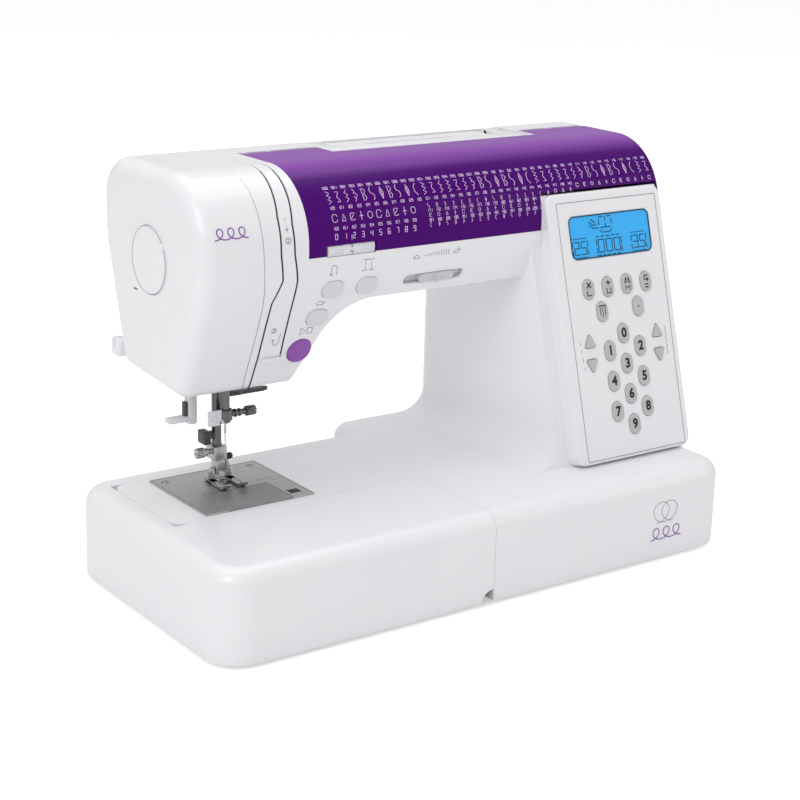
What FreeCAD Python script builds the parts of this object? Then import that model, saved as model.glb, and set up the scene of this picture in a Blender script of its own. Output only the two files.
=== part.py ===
import FreeCAD, Part
import math
import os
from types import SimpleNamespace

from FreeCAD import Placement, Rotation, Vector
import Sketcher

# A computerised free-arm sewing machine, in millimetres. Lengths on the sheet run from the left
# end (x), the front (y) and the table (z). place() shifts them, so that the origin is the bottom
# centre of the whole machine, with +X to the handwheel, +Y to the back and +Z up.

doc = FreeCAD.newDocument("sewing_machine")

SIZES = {
    # overall
    "base_length": 438, "base_depth": 237, "bed_top": 66.3, "machine_top": 292,
    "foot_height": 3, "wall": 2.5, "gap": 0.3, "clearance": 0.05,
    # bed
    "table_length": 215, "table_depth": 208, "ridge_start": 232, "bed_corner": 24,
    "bed_edge": 12, "toe_radius": 18, "arm_left": 18, "arm_front": 94, "arm_back": 186,
    "ridge_corner": 15, "ridge_hollow": 12, "foot_radius": 8, "foot_inset": 32,
    # upper housing
    "head_left": 40, "front_face": 96, "chin_front": 129.3, "chin_height": 139.3,
    "chin_back": 210.5, "arm_under": 200.3, "head_under": 127.5, "under_slope": 66.4,
    "under_radius": 42, "front_knee": 222.3, "knee_radius": 60, "brow_radius": 50,
    "nape_radius": 28, "nape_height": 236, "head_edge": 12, "column_left": 315,
    "column_corner": 20, "flare": 24, "seam_back": 214, "face_seam": 88, "rear_wall": 191,
    "slit_width": 1.4,
    # lid and deck
    "lid_left": 122, "lid_edge": 235.3, "lid_back": 186, "deck_top": 232.5,
    "notch_left": 188, "notch_right": 372, "notch_front": 167, "hinge_y": 188.5,
    "hinge_z": 289, "knuckle": 1.9, "hinge_pin": 0.9,
    # carrying handle
    "well_left": 190, "well_right": 370, "well_front": 170, "well_back": 219,
    "well_floor": 278.5, "handle_gap": 2, "handle_pivot_y": 210, "handle_pivot_z": 286.5,
    "grip_depth": 15, "grip_thick": 10, "handle_arm": 12, "handle_pin": 2,
    # control panel, in its own leaning plane
    "panel_left": 324, "panel_width": 112, "panel_length": 200, "panel_thick": 12,
    "panel_front": 40, "panel_foot": 68.5, "panel_tilt": 16, "panel_corner": 8,
    "key_centre": 381.6, "key_width": 10.5, "key_length": 15, "key_pitch": 11.4,
    "digit_top": 92.4, "digit_column": 15, "key_proud": 1.2, "key_travel": 1,
    "function_row": 128.3, "function_pitch": 18.9, "second_row": 110.6, "second_column": 17.8,
    "rocker_column": 33.4, "rocker_middle": 81.3, "rocker_reach": 9.7, "rocker_key": 10.6,
    "screen_left": 342, "screen_foot": 150.2, "screen_width": 79.5, "screen_length": 32.5,
    # sewing point
    "needle_x": 87.3, "needle_y": 147, "needle_radius": 0.45, "needle_tip": 84,
    "clamp_low": 114.6, "clamp_high": 122.5, "needle_bar_radius": 3.2, "presser_back": 12,
    "presser_radius": 3.5, "plate_left": 45, "plate_width": 86, "plate_front": 99,
    "plate_depth": 81, "plate_thick": 2.4, "plate_proud": 1.2, "cover_left": 62,
    "cover_width": 52, "cover_depth": 36,
    # hook and bobbin
    "hook_y": 121, "hook_radius": 23, "hook_low": 36, "hook_high": 58, "hook_shaft": 4,
    "bobbin_radius": 10.2, "bobbin_width": 11.5,
    # levers of the head
    "threader_side": 20, "threader_foot": 116, "lifter_side": 17, "lifter_foot": 123.5,
    "lifter_reach": 32, "lever_x": 103.4, "pivot_y": 165, "pivot_z": 240, "eye_y": 136,
    "eye_z": 280,
    # drive
    "shaft_y": 160, "shaft_z": 216, "shaft_radius": 5, "pulley_radius": 11,
    "pulley_width": 6, "pulley_x": 412, "wheel_radius": 33, "wheel_width": 22,
    "wheel_gap": 2, "motor_y": 120, "motor_z": 105, "motor_radius": 22, "motor_length": 58,
    "motor_pulley": 7, "belt_thick": 2,
    # controls on the front of the arm
    "button_long": 17, "button_high": 13, "button_proud": 1.4, "start_radius": 9.6,
    "slider_length": 52, "slider_width": 8, "dial_radius": 8, "dial_width": 38,
    "dial_y": 103.6, "dial_z": 238.2, "pressure_radius": 23.5, "pressure_y": 166,
    "pressure_z": 229.5, "switch_y": 179, "switch_z": 42,
}

sheet = doc.addObject("Spreadsheet::Sheet", "Sizes")
for row, (alias, value) in enumerate(SIZES.items(), start=1):
    sheet.set(f"A{row}", alias.replace("_", " "))
    sheet.set(f"B{row}", str(value))
    sheet.setAlias(f"B{row}", alias)
doc.recompute()


def formula(item):
    return item.formula if isinstance(item, Size) else repr(float(item))


class Size:
    """A length that keeps the sheet formula it came from beside its value."""

    def __init__(self, text, value):
        self.formula = text
        self.value = float(value)

    def __float__(self):
        return self.value

    def __neg__(self):
        return 0 - self

    def __add__(self, other):
        return Size(f"({self.formula} + {formula(other)})", self.value + float(other))

    def __sub__(self, other):
        return Size(f"({self.formula} - {formula(other)})", self.value - float(other))

    def __mul__(self, other):
        return Size(f"({self.formula} * {formula(other)})", self.value * float(other))

    def __truediv__(self, other):
        return Size(f"({self.formula} / {formula(other)})", self.value / float(other))

    def __rsub__(self, other):
        return Size(f"({formula(other)} - {self.formula})", float(other) - self.value)

    __radd__ = __add__
    __rmul__ = __mul__


S = SimpleNamespace(**{name: Size("Sizes." + name, value) for name, value in SIZES.items()})

overall_length = S.base_length + S.wheel_gap + S.wheel_width
beyond = overall_length + 100
centre_x = overall_length / 2
centre_y = S.base_depth / 2
presser_y = S.needle_y + S.presser_back
plate_top = S.bed_top + S.plate_proud
running = S.clearance
face_angle = math.degrees(math.atan2(float(S.chin_front - S.front_face),
                                     float(S.front_knee - S.chin_height)))


# --- drawing helpers -------------------------------------------------------------------------

def bind(thing, **sizes):
    for name, size in sizes.items():
        thing.setExpression(name.replace("__", "."), formula(size))
    return thing


def place(thing, x=0, y=0, z=0, axis=(0, 0, 1), angle=0, spin=0):
    """Put a thing at x, y, z measured from the left end, the front and the table."""
    turn = Rotation(Vector(*axis), float(angle)) * Rotation(Vector(0, 0, 1), float(spin))
    thing.Placement = Placement(Vector(), turn)
    return bind(thing, Placement__Base__x=x - centre_x, Placement__Base__y=y - centre_y,
                Placement__Base__z=z)


def box(name, x, y, z, length, width, height):
    made = doc.addObject("Part::Box", name)
    bind(made, Length=length, Width=width, Height=height)
    return place(made, x, y, z)


TURN = {"x": ((0, 1, 0), 90), "y": ((1, 0, 0), -90), "z": ((0, 0, 1), 0)}


def rod(name, along, x, y, z, radius, length):
    made = doc.addObject("Part::Cylinder", name)
    bind(made, Radius=radius, Height=length)
    return place(made, x, y, z, *TURN[along])


def fuse(name, *pieces):
    made = doc.addObject("Part::MultiFuse", name)
    made.Shapes = list(pieces)
    made.Refine = True
    return made


def cut(name, base, *tools):
    made = doc.addObject("Part::Cut", name)
    made.Base = base
    made.Tool = tools[0] if len(tools) == 1 else fuse(name + "_tools", *tools)
    return made


def shaped(name, shape, **where):
    made = doc.addObject("Part::Feature", name)
    made.Shape = shape
    return place(made, **where)


def new_sketch(body, role="XY_Plane"):
    sketch = body.newObject("Sketcher::SketchObject", body.Name + "_outline")
    planes = {item.Role: item for item in body.Origin.OriginFeatures}
    sketch.AttachmentSupport = [(planes[role], "")]
    sketch.MapMode = "FlatFace"
    return sketch


def pin_down(sketch, index, u, v):
    """Tie the start point of a line to the axes or to its two distances from the origin."""
    for kind, size, axis in (("DistanceX", u, -2), ("DistanceY", v, -1)):
        if float(size) == 0:
            sketch.addConstraint(Sketcher.Constraint("PointOnObject", index, 1, axis))
        else:
            number = sketch.addConstraint(
                Sketcher.Constraint(kind, -1, 1, index, 1, float(size)))
            sketch.setExpression(f"Constraints[{number}]", formula(size))


def turned(name, profile, along="z", **where):
    """A body of revolution from (radius, height) corners, its axis along x, y or z."""
    body = doc.addObject("PartDesign::Body", name)
    sketch = new_sketch(body, "XZ_Plane")
    count = len(profile)
    ends = [Vector(float(u), float(v), 0) for u, v in profile]
    for index in range(count):
        sketch.addGeometry(Part.LineSegment(ends[index], ends[(index + 1) % count]))
    for index in range(count):
        following = (index + 1) % count
        sketch.addConstraint(Sketcher.Constraint("Coincident", index, 2, following, 1))
    for index, (u, v) in enumerate(profile):
        pin_down(sketch, index, u, v)
    turn = body.newObject("PartDesign::Revolution", name + "_turn")
    turn.Profile = sketch
    turn.ReferenceAxis = (sketch, ["V_Axis"])
    turn.Angle = 360
    sketch.Visibility = False
    axis, angle = TURN[along]
    return place(body, axis=axis, angle=angle, **where)


def oval(name, width, length, depth, **where):
    """A flat oval pad: two half rounds of the given width, length along its own +Y."""
    body = doc.addObject("PartDesign::Body", name)
    sketch = new_sketch(body)
    half, run = float(width) / 2, (float(length) - float(width)) / 2
    upper = Part.Circle(Vector(0, run, 0), Vector(0, 0, 1), half)
    lower = Part.Circle(Vector(0, -run, 0), Vector(0, 0, 1), half)
    sketch.addGeometry(Part.ArcOfCircle(upper, 0, math.pi))
    sketch.addGeometry(Part.ArcOfCircle(lower, math.pi, 2 * math.pi))
    sketch.addGeometry(Part.LineSegment(Vector(-half, run, 0), Vector(-half, -run, 0)))
    sketch.addGeometry(Part.LineSegment(Vector(half, -run, 0), Vector(half, run, 0)))
    joins = ((0, 2, 2, 1), (2, 2, 1, 1), (1, 2, 3, 1), (3, 2, 0, 1))
    for one, end, other, start in joins:
        sketch.addConstraint(Sketcher.Constraint("Tangent", one, end, other, start))
    sketch.addConstraint(Sketcher.Constraint("Vertical", 2))
    sketch.addConstraint(Sketcher.Constraint("PointOnObject", 0, 3, -2))
    number = sketch.addConstraint(Sketcher.Constraint("Radius", 0, half))
    sketch.setExpression(f"Constraints[{number}]", formula(width / 2))
    for arc, sign in ((0, 1), (1, -1)):
        number = sketch.addConstraint(
            Sketcher.Constraint("DistanceY", -1, 1, arc, 3, sign * run))
        sketch.setExpression(f"Constraints[{number}]", formula((length - width) / 2 * sign))
    pad = body.newObject("PartDesign::Pad", name + "_pad")
    pad.Profile = sketch
    bind(pad, Length=depth)
    sketch.Visibility = False
    return place(body, **where)


def outline(corners, plane, at, inset=0):
    """A face from (u, v, radius) corners on the xz, yz or xy plane at the given distance."""
    flat = [tuple(float(number) for number in corner) for corner in corners]
    edges, last, first = [], None, None
    for index, (u, v, r) in enumerate(flat):
        here = Vector(u, v, 0)
        back = (Vector(*flat[index - 1][:2], 0) - here).normalize()
        ahead = (Vector(*flat[(index + 1) % len(flat)][:2], 0) - here).normalize()
        start = end = here
        if r > 0:
            half = back.getAngle(ahead) / 2
            start = here + back * (r / math.tan(half))
            end = here + ahead * (r / math.tan(half))
            middle = here + (back + ahead).normalize() * (r / math.sin(half) - r)
        if last is None:
            first = start
        elif (start - last).Length > 1e-6:
            edges.append(Part.makeLine(last, start))
        if r > 0:
            edges.append(Part.Arc(start, middle, end).toShape())
        last = end
    if (first - last).Length > 1e-6:
        edges.append(Part.makeLine(last, first))
    wire = Part.Wire(edges)
    if float(inset):
        wire = wire.makeOffset2D(-float(inset))
    face = Part.Face(wire)
    if plane == "xz":
        face.rotate(Vector(), Vector(1, 0, 0), 90)
    elif plane == "yz":
        face.rotate(Vector(), Vector(1, 1, 1), 120)
    face.translate(WAY[plane] * float(at))
    return face


WAY = {"xz": Vector(0, 1, 0), "yz": Vector(1, 0, 0), "xy": Vector(0, 0, 1)}
ALONG = {"x": Vector(1, 0, 0), "y": Vector(0, 1, 0), "z": Vector(0, 0, 1)}


def prism(corners, plane, start, length, inset=0):
    return outline(corners, plane, start, inset).extrude(WAY[plane] * float(length))


def block(x, y, z, length, width, height):
    corner = Vector(float(x), float(y), float(z))
    return Part.makeBox(float(length), float(width), float(height), corner)


def between(x, y, z):
    """A block from three (low, high) pairs."""
    return block(x[0], y[0], z[0], x[1] - x[0], y[1] - y[0], z[1] - z[0])


def bar(along, x, y, z, radius, length):
    corner = Vector(float(x), float(y), float(z))
    return Part.makeCylinder(float(radius), float(length), corner, ALONG[along])


def softened(shape, radius, chosen):
    return shape.makeFillet(float(radius), [edge for edge in shape.Edges if chosen(edge)])


def reach(edge):
    return edge.BoundBox


# --- outer form: the base, the head and arm, and the column ----------------------------------

def base_form(inset=0):
    """The base as one body, drawn inset all round from its outer skin."""
    i = float(inset)
    end = S.base_length
    side = [(0, S.foot_height, 0), (end, S.foot_height, S.toe_radius), (end, S.bed_top, 0),
            (0, S.bed_top, 0)]
    corner = S.bed_corner
    plan = [(0, 0, corner), (end, 0, corner), (end, S.base_depth, corner),
            (S.ridge_start, S.base_depth, S.ridge_corner),
            (S.ridge_start, S.table_depth, S.ridge_hollow),
            (0, S.table_depth, corner)]
    form = prism(side, "xz", -1, S.base_depth + 2, i).common(
        prism(plan, "xy", 0, S.bed_top + 1, i))
    top = float(S.bed_top) - i
    return softened(form, S.bed_edge - i,
                    lambda e: abs(reach(e).ZMin - top) < 1e-4 and abs(reach(e).ZMax - top) < 1e-4)


def upper_form(inset=0):
    """Head, arm and column as one body, drawn inset all round from its outer skin."""
    i = float(inset)
    end, left = S.base_length, S.head_left
    side = [(S.chin_front, S.chin_height, 9), (S.front_face, S.front_knee, S.knee_radius),
            (S.front_face, S.machine_top, S.brow_radius),
            (S.base_depth, S.machine_top, S.nape_radius),
            (S.base_depth, S.nape_height, 60), (S.chin_back, S.chin_height + 6.5, 12)]
    rise = (float(S.arm_under) - 120) / math.tan(math.radians(float(S.under_slope)))
    run = (float(S.chin_height) - 120) / math.tan(math.radians(float(S.under_slope)))
    foot = S.head_under - run
    front = [(left, 120, 0), (foot, 120, 0), (foot + rise, S.arm_under, S.under_radius),
             (end, S.arm_under, 0), (end, 320, 0), (left, 320, 0)]
    head = prism(side, "yz", left - 5, end - left + 10, i).common(
        prism(front, "xz", 0, S.base_depth + 10, i))
    lean = math.tan(math.radians(float(S.panel_tilt)))
    column_front = S.panel_front + S.panel_thick / math.cos(math.radians(float(S.panel_tilt)))
    bottom = float(S.bed_top) - 12
    low = float(column_front) + (bottom - float(S.panel_foot)) * lean
    high = float(column_front) + (250 - float(S.panel_foot)) * lean
    column_side = [(low, bottom, 0), (high, 250, 0), (S.base_depth, 250, 0),
                   (S.base_depth, bottom, 0)]
    column_plan = [(S.column_left, 30, 0), (end, 30, 8),
                   (end, S.base_depth, S.bed_corner),
                   (S.column_left, S.base_depth, S.column_corner)]
    column = prism(column_side, "yz", S.column_left - 5, end - S.column_left + 10, i).common(
        prism(column_plan, "xy", 0, 260, i))
    rear_plan = [(left - 20, 20, 0), (end, 20, 0), (end, S.base_depth, S.bed_corner),
                 (left - 20, S.base_depth, 0)]
    head = head.common(prism(rear_plan, "xy", 0, 320, i))
    skin = float(left) + i
    head = softened(head, S.head_edge - i,
                    lambda e: reach(e).XMin > skin - 1e-4 and reach(e).XMax < skin + 1e-4)
    return head.fuse(column).removeSplitter()


def flared(form):
    """Run the column's left side out onto the bed in a hollow curve."""
    side, top = float(S.column_left), float(S.bed_top)
    return softened(form, S.flare,
                    lambda e: abs(reach(e).XMin - side) < 0.01 and abs(reach(e).XMax - side) < 0.01
                    and abs(reach(e).ZMax - top) < 0.01)


outer = flared(upper_form().fuse(base_form()).removeSplitter())
cavity = upper_form(S.wall).fuse(base_form(S.wall)).removeSplitter()
full = (-50, 600)


def sine(angle):
    return Size(f"sin({formula(angle)} * 1 deg)", math.sin(math.radians(float(angle))))


def cosine(angle):
    return Size(f"cos({formula(angle)} * 1 deg)", math.cos(math.radians(float(angle))))


def on_panel(across, up, out=0):
    """Where a point of the leaning control panel lies; out is along its outward normal."""
    return {"x": across,
            "y": S.panel_front + up * sine(S.panel_tilt) - out * cosine(S.panel_tilt),
            "z": S.panel_foot + up * cosine(S.panel_tilt) + out * sine(S.panel_tilt),
            "axis": (1, 0, 0), "angle": 90 - S.panel_tilt}


face_rise = (S.chin_front - S.front_face) / (S.front_knee - S.chin_height)


def on_face(across, height, out=0):
    """Where a point of the arm's lower front lies; out is along its outward normal."""
    slant = math.hypot(1, float(face_rise))
    return {"x": across,
            "y": S.chin_front - (height - S.chin_height) * face_rise - out * (1 / slant),
            "z": height - out * (float(face_rise) / slant),
            "axis": (1, 0, 0), "angle": 90 + face_angle}


def local(shape, place_at):
    """A plain shape moved from its own plane to where on_panel or on_face puts it."""
    base = Vector(*(float(place_at[key]) for key in "xyz"))
    moved = shape.copy()
    moved.Placement = Placement(base, Rotation(Vector(*place_at["axis"]), float(place_at["angle"])))
    return moved


def slot_shape(width, length, low, high, around=0):
    """An oval cutter about the local origin, grown all round, from low to high."""
    across, along = float(width) / 2 + float(around), float(length) / 2 + float(around)
    corner = min(across, along) - 1e-3
    sides = [(-across, -along, corner), (across, -along, corner),
             (across, along, corner), (-across, along, corner)]
    return prism(sides, "xy", low, float(high) - float(low))


# --- openings in the skin --------------------------------------------------------------------

BUTTONS = {"reverse_button": (144.3, 210.8), "needle_button": (172.5, 210.6),
           "slow_button": (137.2, 190.4)}
START = (129.4, 165.6)
SLIDER = 229.5
DIAL_X = 156.5

inner_walls = [
    between((S.lid_left - S.wall, 436), (90, 193), (230, S.deck_top)),
    between((S.lid_left - S.wall, 436), (S.rear_wall, S.rear_wall + S.wall), (230, 290)),
    between((S.lid_left - S.wall, S.lid_left), (90, 193), (230, 290)),
    between((S.well_left - S.wall, S.well_right + S.wall),
            (S.well_front - S.wall, S.well_back + S.wall), (S.well_floor - S.wall, 300)),
    between((S.table_length, S.table_length + S.wall), full, (0, S.bed_top)),
]
skin = outer.cut(cavity)
for wall in inner_walls:
    skin = skin.fuse(wall.common(outer))

panel_recess = between((S.panel_left - 1, S.base_length - S.wall - 0.3), (60, 112), (200, 259.5))
lid_zone = between((S.lid_left, beyond), (0, S.rear_wall - 0.4), (S.lid_edge - S.gap, 400))
lid_zone = lid_zone.cut(panel_recess)
handle_block = between((S.well_left - S.wall, S.well_right + S.wall),
                       (S.well_front - S.wall, S.rear_wall), (S.well_floor - S.wall, 400))
lid_zone = lid_zone.cut(handle_block)
under_well = between((S.lid_left + 1, 434), (110, S.rear_wall), (S.deck_top, 275))
well = between((S.well_left, S.well_right), (S.well_front, S.well_back), (S.well_floor, 400))
free_arm_hole = between(full, (S.arm_front - S.gap, S.arm_back + S.gap), (0, S.bed_top - S.wall))
free_arm_hole = free_arm_hole.common(between((200, S.table_length + S.wall + 1), full, (-5, 100)))
bed_left = between((-50, S.table_length), (-50, 400), (-10, S.bed_top + 20))
needle_port = between((64, 118), (136, 186), (120, 152))
TAKE_UP_PATH = [(105.6, 300), (105.4, 290), (103.5, 282), (100.2, 264), (100.4, 240),
                (102.6, 222), (97.3, 206), (96.9, 190), (96.7, 165), (95.1, 136)]
THREAD_PATH = [(115.1, 300), (115, 290), (113, 275), (110.4, 259), (111.1, 239), (114.2, 221),
               (114, 197), (114.2, 175), (114.8, 163)]


def slit(path, width):
    """A narrow cut that follows (x, z) points down the front of the head."""
    half = float(width) / 2
    sides = [(x - half, z, 0) for x, z in path] + [(x + half, z, 0) for x, z in reversed(path)]
    return prism(sides, "xz", 80, 66)


take_up_slot = slit(TAKE_UP_PATH, S.slit_width)
thread_slot = slit(THREAD_PATH, S.slit_width)


def dial_opening(side):
    """A narrow mouth in the front with room for the wheel behind it."""
    ends = (DIAL_X - side, DIAL_X + side)
    lip = S.front_face + 0.5
    mouth = between(ends, (80, lip), (S.dial_z - 3.9, S.dial_z + 3.9))
    reach_out = S.dial_radius + 0.8
    return mouth.fuse(between(ends, (lip, S.dial_y + reach_out),
                              (S.dial_z - reach_out, S.dial_z + reach_out)))


dial_slot = dial_opening(20)
panel_blank = [(0, 0, S.panel_corner), (S.panel_width, 0, S.panel_corner),
               (S.panel_width, S.panel_length, S.panel_corner), (0, S.panel_length, S.panel_corner)]
panel_seat = local(prism(panel_blank, "xy", -S.panel_thick, S.panel_thick + 20, -S.gap),
                   on_panel(S.panel_left, 0))
shaft_hole = bar("x", S.base_length - 20, S.shaft_y, S.shaft_z, S.shaft_radius + 2, 30)
switch_hole = between((S.base_length - 20, S.base_length + 5),
                      (S.switch_y - 7, S.switch_y + 7), (S.switch_z - 12, S.switch_z + 12))
winder_slot = between((392, 410), (147, 153), (228, S.deck_top + 1))

front_holes = [lid_zone, well, free_arm_hole, bed_left, needle_port, take_up_slot, thread_slot,
               dial_slot, shaft_hole, switch_hole, winder_slot, panel_seat,
               bar("x", S.well_left - S.wall + 0.4, S.handle_pivot_y, S.handle_pivot_z,
                   S.handle_pin + running, S.well_right - S.well_left + 2 * S.wall - 0.8),
               bar("x", S.head_left - 5, S.pressure_y, S.pressure_z, S.pressure_radius + S.gap, 10)]
for across, height in BUTTONS.values():
    front_holes.append(local(slot_shape(S.button_long, S.button_high, -12, 5, S.gap),
                             on_face(across, height)))
front_holes.append(local(slot_shape(2 * S.start_radius, 2 * S.start_radius, -12, 5, S.gap),
                         on_face(*START)))
front_holes.append(local(slot_shape(S.slider_length, S.slider_width, -12, 5),
                         on_face(SLIDER, 210.4)))
for hole in front_holes:
    skin = skin.cut(hole)

plateau = between((207, 353), (189, 217), (S.well_floor, 289)).cut(
    between((240, 320), (180, 204), (S.well_floor + 1, 400)))
inlet = between((S.base_length - 16, S.base_length), (136, 164), (28, 52)).cut(
    between((S.base_length - 14, beyond), (138, 162), (30, 50)))
skin = skin.cut(between((S.base_length - 14, beyond), (138, 162), (30, 50)))
hinge_lugs = []
for start in (S.lid_left + 8, S.base_length - 32):
    for side in (start - 3.2, start + 16.2):
        hinge_lugs.append(bar("x", side, S.hinge_y, S.hinge_z, S.knuckle, 3))
        hinge_lugs.append(between((side, side + 3), (S.hinge_y, S.rear_wall + 1),
                                  (S.hinge_z - 1.2, S.hinge_z + 0.6)))
    hinge_lugs.append(bar("x", start - 2, S.hinge_y, S.hinge_z, S.hinge_pin, 20))
skin = skin.fuse([plateau.common(outer), inlet.common(outer)] + hinge_lugs)

tray_opening = [(S.table_length + 8, 8, 10), (S.base_length - 26, 8, 10),
                (S.base_length - 26, S.base_depth - 8, 10), (S.ridge_start + 8, S.base_depth - 8, 10),
                (S.ridge_start + 8, S.table_depth - 8, 8),
                (S.table_length + 8, S.table_depth - 8, 6)]
skin = skin.cut(prism(tray_opening, "xy", -1, S.foot_height + S.wall + 1))

behind = between(full, (S.seam_back, 400), full)
face_side = between((-50, S.face_seam), (-50, S.seam_back), (100, 400))
seams = {"rear_cover": skin.common(behind),
         "face_cover": skin.common(face_side),
         "front_cover": skin.cut(behind).cut(face_side)}

parts = {}


def part(name, thing):
    """Register a finished object as the sub-part of that name."""
    thing.Label = name
    parts[name] = thing
    return thing


for name, shape in seams.items():
    part(name, shaped(name, shape))

# --- base: tray, feet, extension table and free arm ------------------------------------------

tray_corners = [(S.table_length + 8.4, 8.4, 9.6), (S.base_length - 26.4, 8.4, 9.6),
                (S.base_length - 26.4, S.base_depth - 8.4, 9.6),
                (S.ridge_start + 8.4, S.base_depth - 8.4, 9.6),
                (S.ridge_start + 8.4, S.table_depth - 8.4, 8.4),
                (S.table_length + 8.4, S.table_depth - 8.4, 5.6)]
part("bottom_tray", shaped("bottom_tray", prism(tray_corners, "xy", S.foot_height, S.wall)))

FEET = [(S.table_length + S.foot_inset, S.foot_inset, S.foot_height),
        (S.base_length - S.foot_inset - 12, S.foot_inset, S.foot_height),
        (S.base_length - S.foot_inset - 12, S.base_depth - S.foot_inset, S.foot_height),
        (S.table_length + S.foot_inset + 14, S.base_depth - S.foot_inset, S.foot_height),
        (S.arm_left + S.foot_inset, S.arm_front + 20, S.foot_height * 2),
        (S.arm_left + S.foot_inset, S.arm_back - 20, S.foot_height * 2)]
pads = [rod(f"foot_{number}", "z", x, y, 0, S.foot_radius, high)
        for number, (x, y, high) in enumerate(FEET, start=1)]
part("rubber_feet", fuse("rubber_feet", *pads))

table = base_form().common(between((-5, S.table_length - S.gap), full, full))
pocket = between((S.arm_left - S.gap, 400), (S.arm_front - S.gap, S.arm_back + S.gap), full)
hollow = base_form(S.wall)
rim = S.wall + 5
hollow = hollow.fuse(prism([(rim, rim, 18), (400, rim, 0), (400, S.table_depth - rim, 0),
                            (rim, S.table_depth - rim, 18)], "xy", -1, 12))
hollow = hollow.common(between((0, S.table_length - S.wall), full, full))
hollow = hollow.cut(between((S.arm_left - S.gap - S.wall, beyond),
                            (S.arm_front - S.gap - S.wall, S.arm_back + S.gap + S.wall), full))
finger_notch = bar("y", S.table_length, -5, S.foot_height - 2, 11, 20)
part("extension_table", shaped("extension_table", table.cut(pocket).cut(hollow).cut(finger_notch)))

arm_low = S.foot_height * 2
arm_corners = [(S.arm_left, S.arm_front, 12), (S.table_length, S.arm_front, 0),
               (S.table_length, S.arm_back, 0), (S.arm_left, S.arm_back, 12)]
arm_solid = prism(arm_corners, "xy", arm_low, S.bed_top - arm_low)
arm_solid = softened(arm_solid, 5, lambda e: reach(e).ZMax < float(arm_low) + 0.01)
arm_inside = prism(arm_corners, "xy", arm_low + S.wall, S.bed_top - arm_low - 2 * S.wall, S.wall)
arm_inside = arm_inside.fuse(between((150, 400), (S.arm_front + S.wall, S.arm_back - S.wall),
                                     (arm_low + S.wall, S.bed_top - S.wall)))
plate_seat = between((S.plate_left - S.gap / 2, S.plate_left + S.plate_width + S.gap / 2),
                     (S.plate_front - S.gap / 2, S.plate_front + S.plate_depth + S.gap / 2),
                     (plate_top - S.plate_thick, 80))
hook_port = between((S.plate_left + 5, S.plate_left + S.plate_width - 5),
                    (S.plate_front + 0.6, S.plate_front + S.plate_depth - 5), (50, 80))
free_arm = arm_solid.cut(arm_inside).cut(plate_seat).cut(hook_port)
part("free_arm_housing", shaped("free_arm_housing", free_arm))

# --- needle plate, bobbin and hook -----------------------------------------------------------

cover_thick = 1.1
plate_low = plate_top - S.plate_thick
plate_blank = box("plate_blank", S.plate_left, S.plate_front, plate_low, S.plate_width,
                  S.plate_depth, S.plate_thick)
needle_slot = box("needle_slot", S.needle_x - 4, S.needle_y - 1.1, plate_low - 1, 8, 2.2, 5)
feed_slots = [box(f"feed_slot_{side}", S.needle_x + offset - 2, S.needle_y - 13, plate_low - 1,
                  4, 26, 5) for side, offset in (("left", -7.5), ("right", 7.5))]
cover_seat = box("cover_seat", S.cover_left, S.plate_front - 1, plate_top - cover_thick - 0.05,
                 S.cover_width, S.cover_depth + 1, 5)
bobbin_port = box("bobbin_port", S.cover_left + 3, S.plate_front + 3, plate_low - 1,
                  S.cover_width - 6, S.cover_depth - 5, 5)
part("needle_plate", cut("needle_plate", plate_blank, needle_slot, *feed_slots, cover_seat,
                         bobbin_port))
part("bobbin_cover", box("bobbin_cover", S.cover_left + S.gap, S.plate_front,
                         plate_top - cover_thick, S.cover_width - 2 * S.gap,
                         S.cover_depth - S.gap, cover_thick))

feed_base = box("feed_base", S.needle_x - 10.5, S.needle_y - 9, 60.6, 21, 18, 3)
feed_bars = [box(f"feed_bar_{side}", S.needle_x + offset - 1.5, S.needle_y - 9, 63.4, 3, 18, 3.4)
             for side, offset in (("left", -7.5), ("right", 7.5))]
feed_gap = box("feed_gap", S.needle_x - 5, S.needle_y - 3, 60, 10, 6, 5)
feed_teeth = [box(f"feed_tooth_{number}", S.needle_x - 12, S.needle_y - 8.4 + 2 * number, 66.2,
                  24, 0.9, 2) for number in range(9)]
part("feed_dog", cut("feed_dog", fuse("feed_blank", feed_base, *feed_bars), feed_gap, *feed_teeth))

part("rotary_hook", turned(
    "rotary_hook", [(0, 0), (S.hook_shaft, 0), (S.hook_shaft, S.hook_low - 12),
                    (S.hook_radius, S.hook_low - 12), (S.hook_radius, S.hook_high - 12),
                    (S.hook_radius - 3, S.hook_high - 12), (S.hook_radius - 3, S.hook_low - 9),
                    (0, S.hook_low - 9)], x=S.needle_x, y=S.hook_y, z=12))
bobbin_low = S.hook_low + 5
part("bobbin", turned(
    "bobbin", [(3, 0), (S.bobbin_radius, 0), (S.bobbin_radius, 1), (4.5, 1),
               (4.5, S.bobbin_width - 1), (S.bobbin_radius, S.bobbin_width - 1),
               (S.bobbin_radius, S.bobbin_width), (3, S.bobbin_width)],
    x=S.needle_x, y=S.hook_y, z=bobbin_low))

# --- frame casting ---------------------------------------------------------------------------

def bearing(name, along, x, y, z, length, width, height, bore_x, bore_y, bore_z, radius):
    """A lug of the casting with one running bore through it."""
    lug = box(name + "_lug", x, y, z, length, width, height)
    start = {"x": (x - 5, bore_y, bore_z), "z": (bore_x, bore_y, z - 5)}[along]
    run = {"x": length, "z": height}[along] + 10
    return lug, rod(name + "_bore", along, *start, radius, run)


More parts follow.
